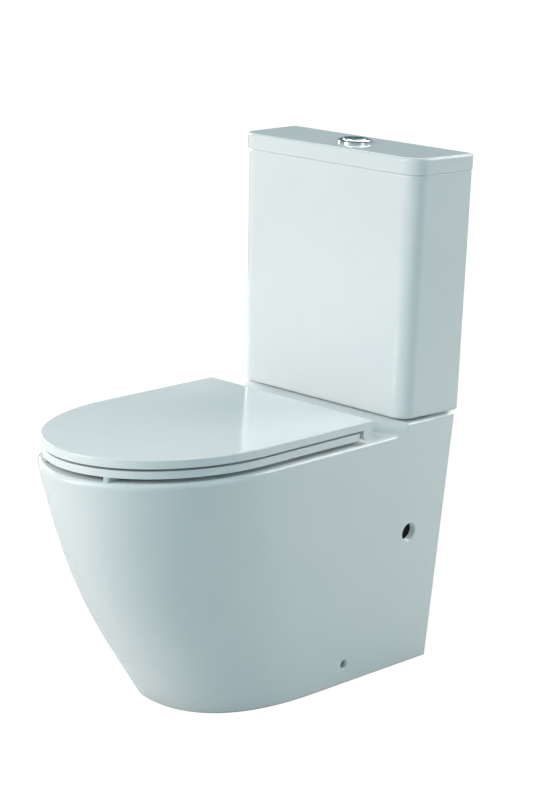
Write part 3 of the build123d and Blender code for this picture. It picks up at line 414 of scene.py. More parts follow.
def thread_ridges(bench: NodeBench, given: Mapping[str, bpy.types.NodeSocket]) -> bpy.types.NodeSocket:
    """Round ridges one above another, as on a moulded or a rolled thread.

    Args:
        bench: The group's bench.
        given: Centre of the lowest ridge, Pitch, Radius, Ridge (its thickness) and Count.

    Returns:
        The geometry output.
    """
    step = bench.add("ShaderNodeCombineXYZ", {"Z": given["Pitch"]}).outputs[0]
    line = bench.add("GeometryNodeMeshLine", {"Count": given["Count"], "Start Location": given["Centre"],
                                              "Offset": step})
    path = bench.add("GeometryNodeCurvePrimitiveCircle", {
        "Resolution": RIDGE_SIDES, "Radius": given["Radius"]})
    profile = bench.add("GeometryNodeCurvePrimitiveCircle", {
        "Resolution": RIDGE_PROFILE_SIDES, "Radius": bench.math("MULTIPLY", given["Ridge"], 0.5)})
    ridge = bench.add("GeometryNodeCurveToMesh", {
        "Curve": path.outputs[0], "Profile Curve": profile.outputs[0]})
    placed = bench.add("GeometryNodeInstanceOnPoints", {
        "Points": line.outputs[0], "Instance": ridge.outputs[0]})
    return placed.outputs[0]


def grip_ribs(bench: NodeBench, given: Mapping[str, bpy.types.NodeSocket]) -> bpy.types.NodeSocket:
    """Upright ribs round a nut or a float.

    Args:
        bench: The group's bench.
        given: Centre, Radius of the circle of ribs, Height, Rib (its radius) and Count.

    Returns:
        The geometry output.
    """
    circle = bench.add("GeometryNodeMeshCircle", {"Vertices": given["Count"], "Radius": given["Radius"]})
    moved = bench.add("GeometryNodeTransform", {
        "Geometry": circle.outputs[0], "Translation": given["Centre"]})
    rib = bench.add("GeometryNodeMeshCylinder", {
        "Vertices": RIB_SIDES, "Radius": given["Rib"], "Depth": given["Height"]})
    placed = bench.add("GeometryNodeInstanceOnPoints", {
        "Points": moved.outputs[0], "Instance": rib.outputs[0]})
    return placed.outputs[0]


def wound_spring(bench: NodeBench, given: Mapping[str, bpy.types.NodeSocket]) -> bpy.types.NodeSocket:
    """Coil spring that stands on its lower end.

    Args:
        bench: The group's bench.
        given: Centre of its foot, Radius, Height, Wire (its radius) and Turns.

    Returns:
        The geometry output.
    """
    coil = bench.add("GeometryNodeCurveSpiral", {
        "Resolution": SPRING_STEPS, "Rotations": given["Turns"], "Start Radius": given["Radius"],
        "End Radius": given["Radius"], "Height": given["Height"]})
    moved = bench.add("GeometryNodeTransform", {"Geometry": coil.outputs[0], "Translation": given["Centre"]})
    wire = bench.add("GeometryNodeCurvePrimitiveCircle", {"Resolution": WIRE_SIDES, "Radius": given["Wire"]})
    mesh = bench.add("GeometryNodeCurveToMesh", {"Curve": moved.outputs[0], "Profile Curve": wire.outputs[0],
                                                 "Fill Caps": True})
    return mesh.outputs[0]


class Patterns:
    """Geometry node groups of the repeated shapes, each built once."""

    def __init__(self) -> None:
        """Start with no group built."""
        self._built: dict[str, bpy.types.NodeTree] = {}

    def group(self, pattern: Pattern, values: Mapping[str, object]) -> bpy.types.NodeTree:
        """Make the node group of a pattern, or give the one already made.

        Args:
            pattern: The function that describes the pattern.
            values: Its inputs, which give the names and the kinds of its sockets.

        Returns:
            The node group.
        """
        name = pattern.__name__
        if name not in self._built:
            tree = bpy.data.node_groups.new(name, "GeometryNodeTree")
            tree.interface.new_socket("Geometry", in_out="INPUT", socket_type="NodeSocketGeometry")
            for key, value in values.items():
                tree.interface.new_socket(key, in_out="INPUT", socket_type=_socket_type(value))
            tree.interface.new_socket("Finish", in_out="INPUT", socket_type="NodeSocketMaterial")
            tree.interface.new_socket("Geometry", in_out="OUTPUT", socket_type="NodeSocketGeometry")
            bench = NodeBench(tree)
            source = bench.add("NodeGroupInput")
            shape = pattern(bench, {key: source.outputs[key] for key in values})
            smooth = bench.add("GeometryNodeSetShadeSmooth", {"Geometry": shape})
            real = bench.add("GeometryNodeRealizeInstances", {"Geometry": smooth.outputs[0]})
            finished = bench.add("GeometryNodeSetMaterial", {"Geometry": real.outputs[0],
                                                             "Material": source.outputs["Finish"]})
            bench.add("NodeGroupOutput", {"Geometry": finished.outputs[0]})
            self._built[name] = tree
        return self._built[name]


def _socket_type(value: object) -> str:
    """Socket type that holds a plain value."""
    if isinstance(value, int):
        return "NodeSocketInt"
    return "NodeSocketFloat" if isinstance(value, float) else "NodeSocketVector"


# ---- finishes -----------------------------------------------------------------------


@dataclass(frozen=True)
class Finish:
    """What every finish has: a name, the record's slot and its material."""

    name: str
    slot: Slot

    def material(self, effects: Effects) -> bpy.types.Material:
        """Make the finish's material, or give the one already made.

        Args:
            effects: The shared shader effects.

        Returns:
            The material.
        """
        made = bpy.data.materials.get(self.name)
        if made is None:
            made = bpy.data.materials.new(self.name)
            made.use_nodes = True
            bench = ShaderBench(made.node_tree)
            self.mix(bench, made.node_tree.nodes["Principled BSDF"], effects)
        return made

    def mix(self, bench: ShaderBench, shader: bpy.types.Node, effects: Effects) -> None:
        """Wire the finish into its shader; each finish says how."""
        raise NotImplementedError


@dataclass(frozen=True)
class ChinaGlaze(Finish):
    """White vitreous china under a clear glaze, bare where it stands on its foot."""

    colour: Colour = (0.86, 0.875, 0.875)
    pooled: Colour = (0.845, 0.865, 0.866)
    bisque: Colour = (0.70, 0.67, 0.61)
    speck: Colour = (0.45, 0.42, 0.37)
    wave_length: float = 0.022
    peel_length: float = 0.0022
    ripple_depth: float = 1.4e-5
    gloss: float = 0.07
    bare_gloss: float = 0.75
    dust_dulling: float = 0.35
    foot_level: float = 0.0012

    def mix(self, bench: ShaderBench, shader: bpy.types.Node, effects: Effects) -> None:
        """Wire the glaze, its ripple, its specks and the bare foot."""
        ripple = effects.use(bench, glaze_ripple, {
            "Wave Length": self.wave_length, "Peel Length": self.peel_length, "Depth": self.ripple_depth})
        specks = effects.use(bench, pin_specks, {"Spacing": 0.035, "Size": 0.0003, "Share": 0.25})
        foot = effects.use(bench, low_band, {
            "Level": self.foot_level, "Raggedness": 0.0012, "Softness": 0.0006})
        dust = effects.use(bench, settled_dust, {"Patch Size": 0.05, "Amount": 0.12})
        glazed = bench.blend(ripple["Pooling"], self.colour, self.pooled)
        specked = bench.blend(specks["Mask"], glazed, self.speck)
        clean = bench.span(ripple["Pooling"], self.gloss, 0.6 * self.gloss)
        gloss = bench.math("MULTIPLY_ADD", dust["Mask"], self.dust_dulling, clean)
        bench.feed(shader.inputs["Base Color"], bench.blend(foot["Mask"], specked, self.bisque))
        bench.feed(shader.inputs["Roughness"], bench.math(
            "MAXIMUM", gloss, bench.math("MULTIPLY", foot["Mask"], self.bare_gloss)))
        bench.feed(shader.inputs["Normal"], bench.bump(ripple["Height"]))
        shader.inputs["IOR"].default_value = 1.52


@dataclass(frozen=True)
class SeatPlastic(Finish):
    """White thermoset seat plastic, pressed and polished."""

    colour: Colour = (0.87, 0.885, 0.885)
    warm: Colour = (0.86, 0.878, 0.875)
    gloss: float = 0.13

    def mix(self, bench: ShaderBench, shader: bpy.types.Node, effects: Effects) -> None:
        """Wire the polish, its faint hairlines and its settled dust."""
        ripple = effects.use(bench, glaze_ripple, {
            "Wave Length": 0.045, "Peel Length": 0.0012, "Depth": 9e-6})
        grain = effects.use(bench, mould_grain, {
            "Grain Size": 0.0006, "Flow Length": 0.12, "Depth": 4e-7})
        lines = effects.use(bench, hairline_scratches, {"Spacing": 0.0005, "Amount": 0.10})
        dust = effects.use(bench, settled_dust, {"Patch Size": 0.04, "Amount": 0.10})
        rough = bench.span(grain["Flow"], 0.8 * self.gloss, 1.2 * self.gloss)
        worn = bench.math("MULTIPLY_ADD", bench.math("MAXIMUM", lines["Mask"], dust["Mask"]), 0.5, rough)
        bench.feed(shader.inputs["Base Color"], bench.blend(grain["Flow"], self.colour, self.warm))
        bench.feed(shader.inputs["Roughness"], worn)
        bench.feed(shader.inputs["Normal"], bench.bump(bench.math("ADD", ripple["Height"], grain["Height"])))
        shader.inputs["IOR"].default_value = 1.55


@dataclass(frozen=True)
class ChromePlate(Finish):
    """Bright chrome plate with faint smears and hairlines."""

    colour: Colour = (0.80, 0.82, 0.84)
    smeared: Colour = (0.70, 0.72, 0.74)
    gloss: float = 0.05

    def mix(self, bench: ShaderBench, shader: bpy.types.Node, effects: Effects) -> None:
        """Wire the plate, its smears and its hairlines."""
        smears = bench.step(bench.noise(0.012, detail=4.0), 0.42, 0.70)
        lines = effects.use(bench, hairline_scratches, {"Spacing": 0.0004, "Amount": 0.35})
        ripple = effects.use(bench, glaze_ripple, {
            "Wave Length": 0.009, "Peel Length": 0.0015, "Depth": 1.5e-6})
        bench.feed(shader.inputs["Base Color"], bench.blend(smears, self.colour, self.smeared))
        bench.feed(shader.inputs["Roughness"], bench.math(
            "MULTIPLY_ADD", lines["Mask"], 0.3, bench.span(smears, self.gloss, 3.2 * self.gloss)))
        bench.feed(shader.inputs["Normal"], bench.bump(ripple["Height"]))
        shader.inputs["Metallic"].default_value = 1.0


@dataclass(frozen=True)
class DrawnSteel(Finish):
    """Plain stainless steel with drawn lines and a few tarnish spots."""

    colour: Colour = (0.60, 0.61, 0.62)
    tarnish: Colour = (0.40, 0.38, 0.35)
    gloss: float = 0.28

    def mix(self, bench: ShaderBench, shader: bpy.types.Node, effects: Effects) -> None:
        """Wire the drawn lines and the tarnish."""
        lines = effects.use(bench, hairline_scratches, {"Spacing": 0.0003, "Amount": 0.8})
        grain = effects.use(bench, mould_grain, {"Grain Size": 0.0004, "Flow Length": 0.01, "Depth": 2e-6})
        stain = bench.step(grain["Flow"], 0.56, 0.75)
        bench.feed(shader.inputs["Base Color"], bench.blend(stain, self.colour, self.tarnish))
        bench.feed(shader.inputs["Roughness"], bench.math("MULTIPLY_ADD", lines["Mask"], 0.2, self.gloss))
        bench.feed(shader.inputs["Normal"], bench.bump(grain["Height"]))
        shader.inputs["Metallic"].default_value = 1.0


@dataclass(frozen=True)
class MouldedRubber(Finish):
    """Black or grey moulded rubber with a dull bloom."""

    colour: Colour = (0.035, 0.036, 0.038)
    bloom: Colour = (0.10, 0.10, 0.105)
    gloss: float = 0.62

    def mix(self, bench: ShaderBench, shader: bpy.types.Node, effects: Effects) -> None:
        """Wire the grain and the bloom."""
        grain = effects.use(bench, mould_grain, {
            "Grain Size": 0.0007, "Flow Length": 0.02, "Depth": 2.5e-5})
        dust = effects.use(bench, settled_dust, {"Patch Size": 0.02, "Amount": 0.3})
        bloom = bench.math("MAXIMUM", bench.step(grain["Flow"], 0.45, 0.8), dust["Mask"])
        bench.feed(shader.inputs["Base Color"], bench.blend(bloom, self.colour, self.bloom))
        bench.feed(shader.inputs["Roughness"], bench.span(grain["Grain"], self.gloss, 1.3 * self.gloss))
        bench.feed(shader.inputs["Normal"], bench.bump(grain["Height"]))


@dataclass(frozen=True)
class MouldedPlastic(Finish):
    """Satin injection moulded plastic with grain, flow marks and a little scale."""

    colour: Colour = (0.80, 0.81, 0.80)
    shade: Colour = (0.74, 0.75, 0.74)
    scale: Colour = (0.72, 0.70, 0.64)
    gloss: float = 0.38

    def mix(self, bench: ShaderBench, shader: bpy.types.Node, effects: Effects) -> None:
        """Wire the grain, the flow marks and the scale."""
        grain = effects.use(bench, mould_grain, {
            "Grain Size": 0.0005, "Flow Length": 0.03, "Depth": 1.2e-5})
        dust = effects.use(bench, settled_dust, {"Patch Size": 0.012, "Amount": 0.35})
        toned = bench.blend(bench.step(grain["Flow"], 0.3, 0.7), self.colour, self.shade)
        bench.feed(shader.inputs["Base Color"], bench.blend(dust["Mask"], toned, self.scale))
        rough = bench.span(grain["Grain"], 0.8 * self.gloss, 1.25 * self.gloss)
        bench.feed(shader.inputs["Roughness"], rough)
        bench.feed(shader.inputs["Normal"], bench.bump(grain["Height"]))


CHINA = ChinaGlaze("vitreous_china_glaze", Slot.GLAZE)
SEAT = SeatPlastic("polished_seat_plastic", Slot.SEAT_PLASTIC)
CHROME = ChromePlate("bright_chrome_plate", Slot.CHROME)
STEEL = DrawnSteel("drawn_stainless_steel", Slot.STEEL)
RUBBER = MouldedRubber("black_moulded_rubber", Slot.RUBBER)
WHITE = MouldedPlastic("white_valve_plastic", Slot.VALVE_WHITE)
BLUE = MouldedPlastic("blue_valve_plastic", Slot.VALVE_BLUE, colour=(0.045, 0.17, 0.42),
                      shade=(0.035, 0.14, 0.36), scale=(0.30, 0.38, 0.48))
BUFFER = MouldedRubber("pale_buffer_rubber", Slot.RUBBER, colour=(0.50, 0.52, 0.52),
                       bloom=(0.62, 0.63, 0.63), gloss=0.45)
GREY = MouldedPlastic("grey_valve_plastic", Slot.VALVE_GREY, colour=(0.30, 0.32, 0.34),
                      shade=(0.26, 0.28, 0.30), scale=(0.45, 0.45, 0.43))


@dataclass
class Workshop:
    """What the sub-assemblies share: the frame's nodes, the shader effects and the patterns."""

    nodes: dict[str, bpy.types.Object]
    effects: Effects = field(default_factory=Effects)
    patterns: Patterns = field(default_factory=Patterns)

    def shape(self, name: str, pattern: Pattern, finish: Finish, body: Body,
              values: Mapping[str, object]) -> bpy.types.Object:
        """Make one detail piece from a pattern.

        Args:
            name: The piece's name.
            pattern: The function that describes the pattern.
            finish: The piece's finish.
            body: The body it rides on.
            values: A value for each of the pattern's inputs.

        Returns:
            The finished piece.
        """
        tree = self.patterns.group(pattern, values)
        piece = bpy.data.objects.new(name, bpy.data.meshes.new(name))
        bpy.context.scene.collection.objects.link(piece)
        modifier = piece.modifiers.new("pattern", "NODES")
        modifier.node_group = tree
        sockets = {item.name: item.identifier
                   for item in tree.interface.items_tree if item.in_out == "INPUT"}
        for key, value in (*values.items(), ("Finish", finish.material(self.effects))):
            modifier[sockets[key]] = value
        evaluated = piece.evaluated_get(bpy.context.evaluated_depsgraph_get())
        mesh = bpy.data.meshes.new_from_object(evaluated)
        piece.modifiers.remove(modifier)
        piece.data = mesh
        mesh.name = name
        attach(piece, body.value)
        log.info("shaped %s with %d faces", name, len(mesh.polygons))
        return piece

    def dress(self, finish: Finish, *names: str) -> None:
        """Give CAD nodes a finish.

        Args:
            finish: The finish to apply.
            *names: The nodes.
        """
        material = finish.material(self.effects)
        for name in names:
            for slot in self.nodes[name].material_slots:
                slot.material = material
            log.info("dressed %s in %s", name, finish.name)


# ---- sub-assemblies -----------------------------------------------------------------


def _middle(node: str) -> tuple[float, float]:
    """X and Y of the middle of a CAD node's box."""
    low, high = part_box(node)
    return ((low.x + high.x) / 2, (low.y + high.y) / 2)


@dataclass
class SubAssembly:
    """A group of CAD nodes that is finished together, with the details it adds."""

    def dress(self, shop: Workshop) -> None:
        """Give the group's CAD nodes their finishes; each group says which."""
        raise NotImplementedError

    def build(self, shop: Workshop) -> None:
        """Add the group's details; a group without any keeps this."""


@dataclass
class Pan(SubAssembly):
    """The china pan with its floor fixings."""

    def dress(self, shop: Workshop) -> None:
        """Glaze the pan and finish its fixings."""
        shop.dress(CHINA, "pan")
        shop.dress(STEEL, "floor_brackets", "side_screws")
        shop.dress(WHITE, "side_screw_sleeves")


@dataclass
class Cistern(SubAssembly):
    """The tank and its lid, and what couples them to the pan."""

    head_radius: float = 0.011
    bolt_radius: float = 0.004
    thread_start: float = 0.0012
    thread_pitch: float = 0.00125
    thread_ridge: float = 0.0007
    thread_turns: int = 5

    def build(self, shop: Workshop) -> None:
        """Roll the thread on the lower ends of the coupling bolts."""
        low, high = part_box("coupling_bolts")
        depth = _middle("coupling_bolts")[1]
        places = {"left": low.x + self.head_radius, "right": high.x - self.head_radius}
        for side, across in places.items():
            shop.shape(f"{side}_coupling_bolt_thread", thread_ridges, STEEL, Body.ROOT, {
                "Centre": (across, depth, low.z + self.thread_start), "Pitch": self.thread_pitch,
                "Radius": self.bolt_radius, "Ridge": self.thread_ridge, "Count": self.thread_turns})

    def dress(self, shop: Workshop) -> None:
        """Glaze the tank and the lid and finish the coupling."""
        shop.dress(CHINA, "cistern_tank", "cistern_lid")
        shop.dress(STEEL, "coupling_bolts", "coupling_metal_washers", "coupling_wing_nuts")
        shop.dress(RUBBER, "coupling_gasket", "coupling_rubber_washers")


@dataclass
class Seat(SubAssembly):
    """The seat ring and cover with their hinges and buffers."""

    bolt_radius: float = 0.0035
    thread_start: float = 0.0007
    thread_pitch: float = 0.00125
    thread_ridge: float = 0.0006
    thread_turns: int = 7
    nut_radius: float = 0.012
    nut_rib: float = 0.0011
    nut_rib_height: float = 0.007
    nut_rib_drop: float = 0.0045
    nut_rib_count: int = 16

    def build(self, shop: Workshop) -> None:
        """Roll the seat bolts' threads and rib their nuts."""
        bolt_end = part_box("seat_bolts")[0].z
        nut_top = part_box("seat_bolt_nuts")[1].z
        for side in ("left", "right"):
            across, depth = _middle(f"{side}_hinge_post")
            shop.shape(f"{side}_seat_bolt_thread", thread_ridges, STEEL, Body.ROOT, {
                "Centre": (across, depth, bolt_end + self.thread_start), "Pitch": self.thread_pitch,
                "Radius": self.bolt_radius, "Ridge": self.thread_ridge, "Count": self.thread_turns})
            shop.shape(f"{side}_seat_nut_ribs", grip_ribs, WHITE, Body.ROOT, {
                "Centre": (across, depth, nut_top - self.nut_rib_drop), "Radius": self.nut_radius,
                "Height": self.nut_rib_height, "Rib": self.nut_rib, "Count": self.nut_rib_count})

    def dress(self, shop: Workshop) -> None:
        """Finish the seat, its hinges and its fixings."""
        shop.dress(SEAT, "seat_cover", "seat_ring")
        shop.dress(CHROME, "left_hinge_post", "right_hinge_post")
        shop.dress(STEEL, "hinge_pins", "seat_bolts")
        shop.dress(BUFFER, "cover_buffers", "seat_buffers")
        shop.dress(RUBBER, "seat_bolt_bungs")
        shop.dress(WHITE, "left_hinge_damper", "right_hinge_damper", "seat_bolt_nuts")


@dataclass
class PushButtons(SubAssembly):
    """The two push buttons in their chrome bezel."""

    def dress(self, shop: Workshop) -> None:
        """Finish the buttons and their housing."""
        shop.dress(CHROME, "button_bezel", "full_flush_button", "half_flush_button")
        shop.dress(WHITE, "button_housing", "full_flush_rod", "half_flush_rod")
        shop.dress(GREY, "button_lock_nut")


@dataclass
class FlushValve(SubAssembly):
    """The dual flush valve in the tank."""

    tail_radius: float = 0.025
    tail_thread_start: float = 0.002
    tail_thread_pitch: float = 0.003
    tail_thread_ridge: float = 0.0009
    tail_thread_turns: int = 5
    float_radius: float = 0.0248
    float_rib: float = 0.0009
    float_rib_height: float = 0.030
    float_rib_count: int = 24
    float_below_top: float = 0.080
    overflow_radius: float = 0.014
    mark_ridge: float = 0.0006
    mark_spacing: float = 0.008
    mark_count: int = 5
    marks_below_top: float = 0.048
    spring_radius: float = 0.0062
    spring_wire: float = 0.00045
    spring_height: float = 0.0198
    spring_lift: float = 0.0006
    spring_turns: float = 6.0
    pressed_share: float = 0.58

    def build(self, shop: Workshop) -> None:
        """Cut the tail's thread, rib the float and wind the plungers' springs."""
        axis = _middle("flush_valve_base")
        tail_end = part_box("flush_valve_base")[0].z
        overflow_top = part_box("flush_valve_core")[1].z
        shop.shape("flush_valve_tail_thread", thread_ridges, WHITE, Body.ROOT, {
            "Centre": (*axis, tail_end + self.tail_thread_start), "Pitch": self.tail_thread_pitch,
            "Radius": self.tail_radius, "Ridge": self.tail_thread_ridge, "Count": self.tail_thread_turns})
        shop.shape("flush_core_float_ribs", grip_ribs, GREY, Body.FLUSH_CORE, {
            "Centre": (*axis, overflow_top - self.float_below_top), "Radius": self.float_radius,
            "Height": self.float_rib_height, "Rib": self.float_rib, "Count": self.float_rib_count})
        shop.shape("overflow_level_marks", thread_ridges, GREY, Body.FLUSH_CORE, {
            "Centre": (*axis, overflow_top - self.marks_below_top), "Pitch": self.mark_spacing,
            "Radius": self.overflow_radius, "Ridge": self.mark_ridge, "Count": self.mark_count})
        spring_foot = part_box("flush_valve_head")[1].z + self.spring_lift
        for side in ("full", "half"):
            foot = (*_middle(f"{side}_flush_plunger"), spring_foot)
            spring = shop.shape(f"{side}_plunger_spring", wound_spring, STEEL, Body.ROOT, {
                "Centre": foot, "Radius": self.spring_radius, "Height": self.spring_height,
                "Wire": self.spring_wire, "Turns": self.spring_turns})
            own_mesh(spring)

    def dress(self, shop: Workshop) -> None:
        """Finish the valve's mouldings and seals."""
        shop.dress(WHITE, "flush_valve_base", "flush_valve_tower")
        shop.dress(BLUE, "flush_valve_head", "full_flush_plunger", "half_flush_plunger")
        shop.dress(GREY, "flush_valve_core", "flush_valve_back_nut")
        shop.dress(RUBBER, "flush_valve_washer", "flush_valve_seal")


@dataclass
class FillValve(SubAssembly):
    """The float valve that fills the tank."""

    thread_radius: float = 0.010075
    thread_start: float = 0.0015
    thread_pitch: float = 0.001814
    thread_ridge: float = 0.0007
    thread_turns: int = 16
    float_radius: float = 0.028
    rib: float = 0.0009
    float_rib_height: float = 0.046
    float_rib_count: int = 20
    float_height: float = 0.060
    cap_radius: float = 0.0229
    cap_rib_height: float = 0.022
    cap_rib_count: int = 32
    cap_rib_rise: float = 0.015

    def build(self, shop: Workshop) -> None:
        """Cut the supply thread and rib the float and the valve's cap."""
        axis = _middle("fill_valve_shank")
        supply_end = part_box("fill_valve_shank")[0].z
        float_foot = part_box("fill_valve_float")[0].z
        cap_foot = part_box("fill_valve_head")[0].z
        shop.shape("supply_thread_ridges", thread_ridges, WHITE, Body.ROOT, {
            "Centre": (*axis, supply_end + self.thread_start), "Pitch": self.thread_pitch,
            "Radius": self.thread_radius, "Ridge": self.thread_ridge, "Count": self.thread_turns})
        shop.shape("fill_float_ribs", grip_ribs, GREY, Body.FLOAT, {
            "Centre": (*axis, float_foot + self.float_height / 2), "Radius": self.float_radius,
            "Height": self.float_rib_height, "Rib": self.rib, "Count": self.float_rib_count})
        shop.shape("fill_cap_grips", grip_ribs, BLUE, Body.ROOT, {
            "Centre": (*axis, cap_foot + self.cap_rib_rise), "Radius": self.cap_radius,
            "Height": self.cap_rib_height, "Rib": self.rib, "Count": self.cap_rib_count})

    def dress(self, shop: Workshop) -> None:
        """Finish the valve's mouldings, pin and washer."""
        shop.dress(WHITE, "fill_valve_riser", "fill_valve_shank")
        shop.dress(BLUE, "fill_valve_lever", "fill_valve_head")
        shop.dress(GREY, "fill_valve_float", "fill_valve_link", "fill_valve_back_nut")
        shop.dress(STEEL, "fill_valve_lever_pin")
        shop.dress(RUBBER, "fill_valve_washer")


# ---- studio -------------------------------------------------------------------------


@dataclass(frozen=True)
class Softbox:
    """One soft area light."""

    name: str
    azimuth: float
    elevation: float
    distance: float
    size: tuple[float, float]
    power: float
    tint: Colour = (1.0, 1.0, 1.0)

    def hang(self, aim: Vector) -> None:
        """Hang the light so that it faces a point.

        Args:
            aim: The point that it lights.
        """
        data = bpy.data.lights.new(self.name, "AREA")
        data.shape = "RECTANGLE"
        data.size, data.size_y = self.size
        data.energy = self.power
        data.color = self.tint
        light = bpy.data.objects.new(self.name, data)
        turn, rise = math.radians(self.azimuth), math.radians(self.elevation)
        back = Vector((math.sin(turn) * math.cos(rise), -math.cos(turn) * math.cos(rise), math.sin(rise)))
        turned = (-back).to_track_quat("-Z", "Y")
        light.matrix_world = Matrix.LocRotScale(aim + back * self.distance, turned, None)
        bpy.context.scene.collection.objects.link(light)


@dataclass(frozen=True)
class ViewPoint:
    """Where the camera stands and how it is turned."""

    place: Point = (2.2369, -2.3450, 1.3063)
    azimuth: float = 42.58
    elevation: float = 14.534
    roll: float = 2.149
    lens: float = 97.72
    sensor: float = 36.0

    def set_up(self) -> None:
        """Make the camera."""
        data = bpy.data.cameras.new("camera")
        data.lens = self.lens
        data.sensor_width = self.sensor
        camera = bpy.data.objects.new("camera", data)
        turn, rise = math.radians(self.azimuth), math.radians(self.elevation)
        back = Vector((math.sin(turn) * math.cos(rise), -math.cos(turn) * math.cos(rise), math.sin(rise)))
        level = Vector((math.cos(turn), math.sin(turn), 0.0))
        upright = back.cross(level)
        roll = math.radians(self.roll)
        right = math.cos(roll) * level + math.sin(roll) * upright
        up = math.cos(roll) * upright - math.sin(roll) * level
        camera.matrix_world = Matrix.Translation(self.place) @ Matrix((right, up, back)).transposed().to_4x4()
        bpy.context.scene.collection.objects.link(camera)
        bpy.context.scene.camera = camera


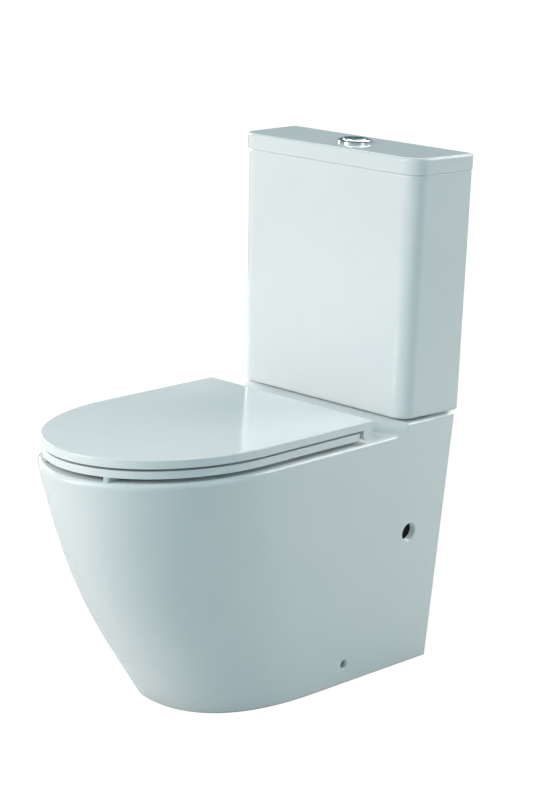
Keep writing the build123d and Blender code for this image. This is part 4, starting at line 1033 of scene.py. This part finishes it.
@dataclass(frozen=True)
class Studio:
    """A pale floor, soft light and the camera."""

    floor_size: float = 80.0
    floor_colour: Colour = (0.60, 0.62, 0.62)
    floor_glow: float = 1.0
    air_light: Colour = (0.30, 0.84, 1.0)
    air_strength: float = 0.17
    softboxes: tuple[Softbox, ...] = (
        Softbox("left_softbox", -100.0, 20.0, 3.0, (1.4, 1.4), 53.0, (0.97, 0.96, 0.96)),
        Softbox("left_rear_softbox", -150.0, 40.0, 3.0, (1.4, 1.4), 26.0, (1.0, 0.91, 0.84)),
        Softbox("front_low_softbox", -20.0, 15.0, 3.0, (1.4, 1.4), 36.0, (1.0, 0.84, 0.78)),
        Softbox("front_high_softbox", -20.0, 45.0, 3.0, (1.4, 1.4), 21.0, (1.0, 0.95, 0.90)),
        Softbox("right_rear_softbox", 150.0, 30.0, 3.0, (1.4, 1.4), 40.0, (1.0, 0.94, 0.90)),
        Softbox("middle_softbox", 5.0, 30.0, 3.0, (1.4, 1.4), 20.0, (0.6, 0.92, 1.0)),
        Softbox("right_softbox", 100.0, 20.0, 3.0, (1.4, 1.8), 11.0, (0.85, 0.98, 1.0)),
    )
    card_width: float = 0.27
    card_foot: float = 0.03
    card_height: float = 0.40
    card_place: float = 0.3435
    view_point: ViewPoint = ViewPoint()

    def build(self, centre: Vector) -> None:
        """Set up the floor, the black card of painted shade, the air, the lights and the camera.

        Args:
            centre: Middle of the object, which the lights face.
        """
        self._lay_floor()
        # The black card is painted shade: it makes the pan's access holes look dark.
        self._stand_painted_shade_card()
        self._light_air()
        for softbox in self.softboxes:
            softbox.hang(centre)
        self.view_point.set_up()
        bpy.context.scene.view_settings.view_transform = "Standard"
        log.info("studio has %d softboxes", len(self.softboxes))

    def _lay_floor(self) -> None:
        """Lay the pale floor."""
        half = self.floor_size / 2
        mesh = bpy.data.meshes.new("studio_floor")
        corners = [(-half, -half, 0), (half, -half, 0), (half, half, 0), (-half, half, 0)]
        mesh.from_pydata(corners, [], [(0, 1, 2, 3)])
        floor = bpy.data.objects.new("studio_floor", mesh)
        material = bpy.data.materials.new("pale_floor")
        material.use_nodes = True
        bench = ShaderBench(material.node_tree)
        paint = material.node_tree.nodes["Principled BSDF"]
        paint.inputs["Base Color"].default_value = _rgba(self.floor_colour)
        paint.inputs["Roughness"].default_value = 0.9
        glow = bench.add("ShaderNodeEmission", {"Color": (1.0, 1.0, 1.0, 1.0), "Strength": 1.05})
        seen = bench.add("ShaderNodeLightPath").outputs["Is Camera Ray"]
        mixed = bench.add("ShaderNodeMixShader", {0: bench.math("MULTIPLY", seen, self.floor_glow),
                                                  1: paint.outputs[0], 2: glow.outputs[0]})
        bench.feed(material.node_tree.nodes["Material Output"].inputs["Surface"], mixed.outputs[0])
        mesh.materials.append(material)
        bpy.context.scene.collection.objects.link(floor)
        floor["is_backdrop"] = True

    def _stand_painted_shade_card(self) -> None:
        """Stand a black card behind the pan's open back, which only the camera sees, from in front. It is
        painted shade that makes the pan's access holes look dark inside.
        """
        half, low, high = self.card_width / 2, self.card_foot, self.card_height
        mesh = bpy.data.meshes.new("painted_shade_card")
        mesh.from_pydata([(-half, self.card_place, low), (half, self.card_place, low),
                          (half, self.card_place, high), (-half, self.card_place, high)], [], [(0, 1, 2, 3)])
        card = bpy.data.objects.new("painted_shade_card", mesh)
        material = bpy.data.materials.new("painted_shade_card")
        material.use_nodes = True
        bench = ShaderBench(material.node_tree)
        paint = material.node_tree.nodes["Principled BSDF"]
        # Near-black paint: painted shade standing in for the dark inside of the pan behind its access holes.
        paint.inputs["Base Color"].default_value = (0.01, 0.014, 0.016, 1.0)
        paint.inputs["Roughness"].default_value = 1.0
        clear = bench.add("ShaderNodeBsdfTransparent")
        behind = bench.add("ShaderNodeNewGeometry").outputs["Backfacing"]
        unseen = bench.math("SUBTRACT", 1.0, bench.add("ShaderNodeLightPath").outputs["Is Camera Ray"])
        mixed = bench.add("ShaderNodeMixShader", {
            0: bench.math("MAXIMUM", behind, unseen), 1: paint.outputs[0], 2: clear.outputs[0]})
        bench.feed(material.node_tree.nodes["Material Output"].inputs["Surface"], mixed.outputs[0])
        mesh.materials.append(material)
        bpy.context.scene.collection.objects.link(card)
        card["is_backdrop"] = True

    def _light_air(self) -> None:
        """Light the air evenly, and leave it white to look at."""
        world = bpy.data.worlds.new("studio_air")
        bpy.context.scene.world = world
        world.use_nodes = True
        bench = ShaderBench(world.node_tree)
        world.node_tree.nodes["Background"].inputs["Color"].default_value = _rgba(self.air_light)
        world.node_tree.nodes["Background"].inputs["Strength"].default_value = self.air_strength
        white = bench.add("ShaderNodeBackground", {"Color": (1.0, 1.0, 1.0, 1.0), "Strength": 1.0})
        seen = bench.add("ShaderNodeLightPath").outputs["Is Camera Ray"]
        mixed = bench.add("ShaderNodeMixShader", {0: seen, 1: world.node_tree.nodes["Background"].outputs[0],
                                                  2: white.outputs[0]})
        bench.feed(world.node_tree.nodes["World Output"].inputs["Surface"], mixed.outputs[0])


# ---- the whole ----------------------------------------------------------------------


def main() -> None:
    """Load the frame, dress every sub-assembly and set up the studio."""
    logging.basicConfig(level=logging.INFO, format="%(name)s: %(message)s")
    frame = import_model()
    cad_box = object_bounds()
    shop = Workshop(frame["nodes"])
    sub_assemblies = (Pan(), Cistern(), Seat(), PushButtons(), FlushValve(), FillValve())
    for sub_assembly in sub_assemblies:
        sub_assembly.dress(shop)
    for sub_assembly in sub_assemblies:
        sub_assembly.build(shop)
    Studio().build((cad_box[0] + cad_box[1]) / 2)


if __name__ == "__main__":
    main()
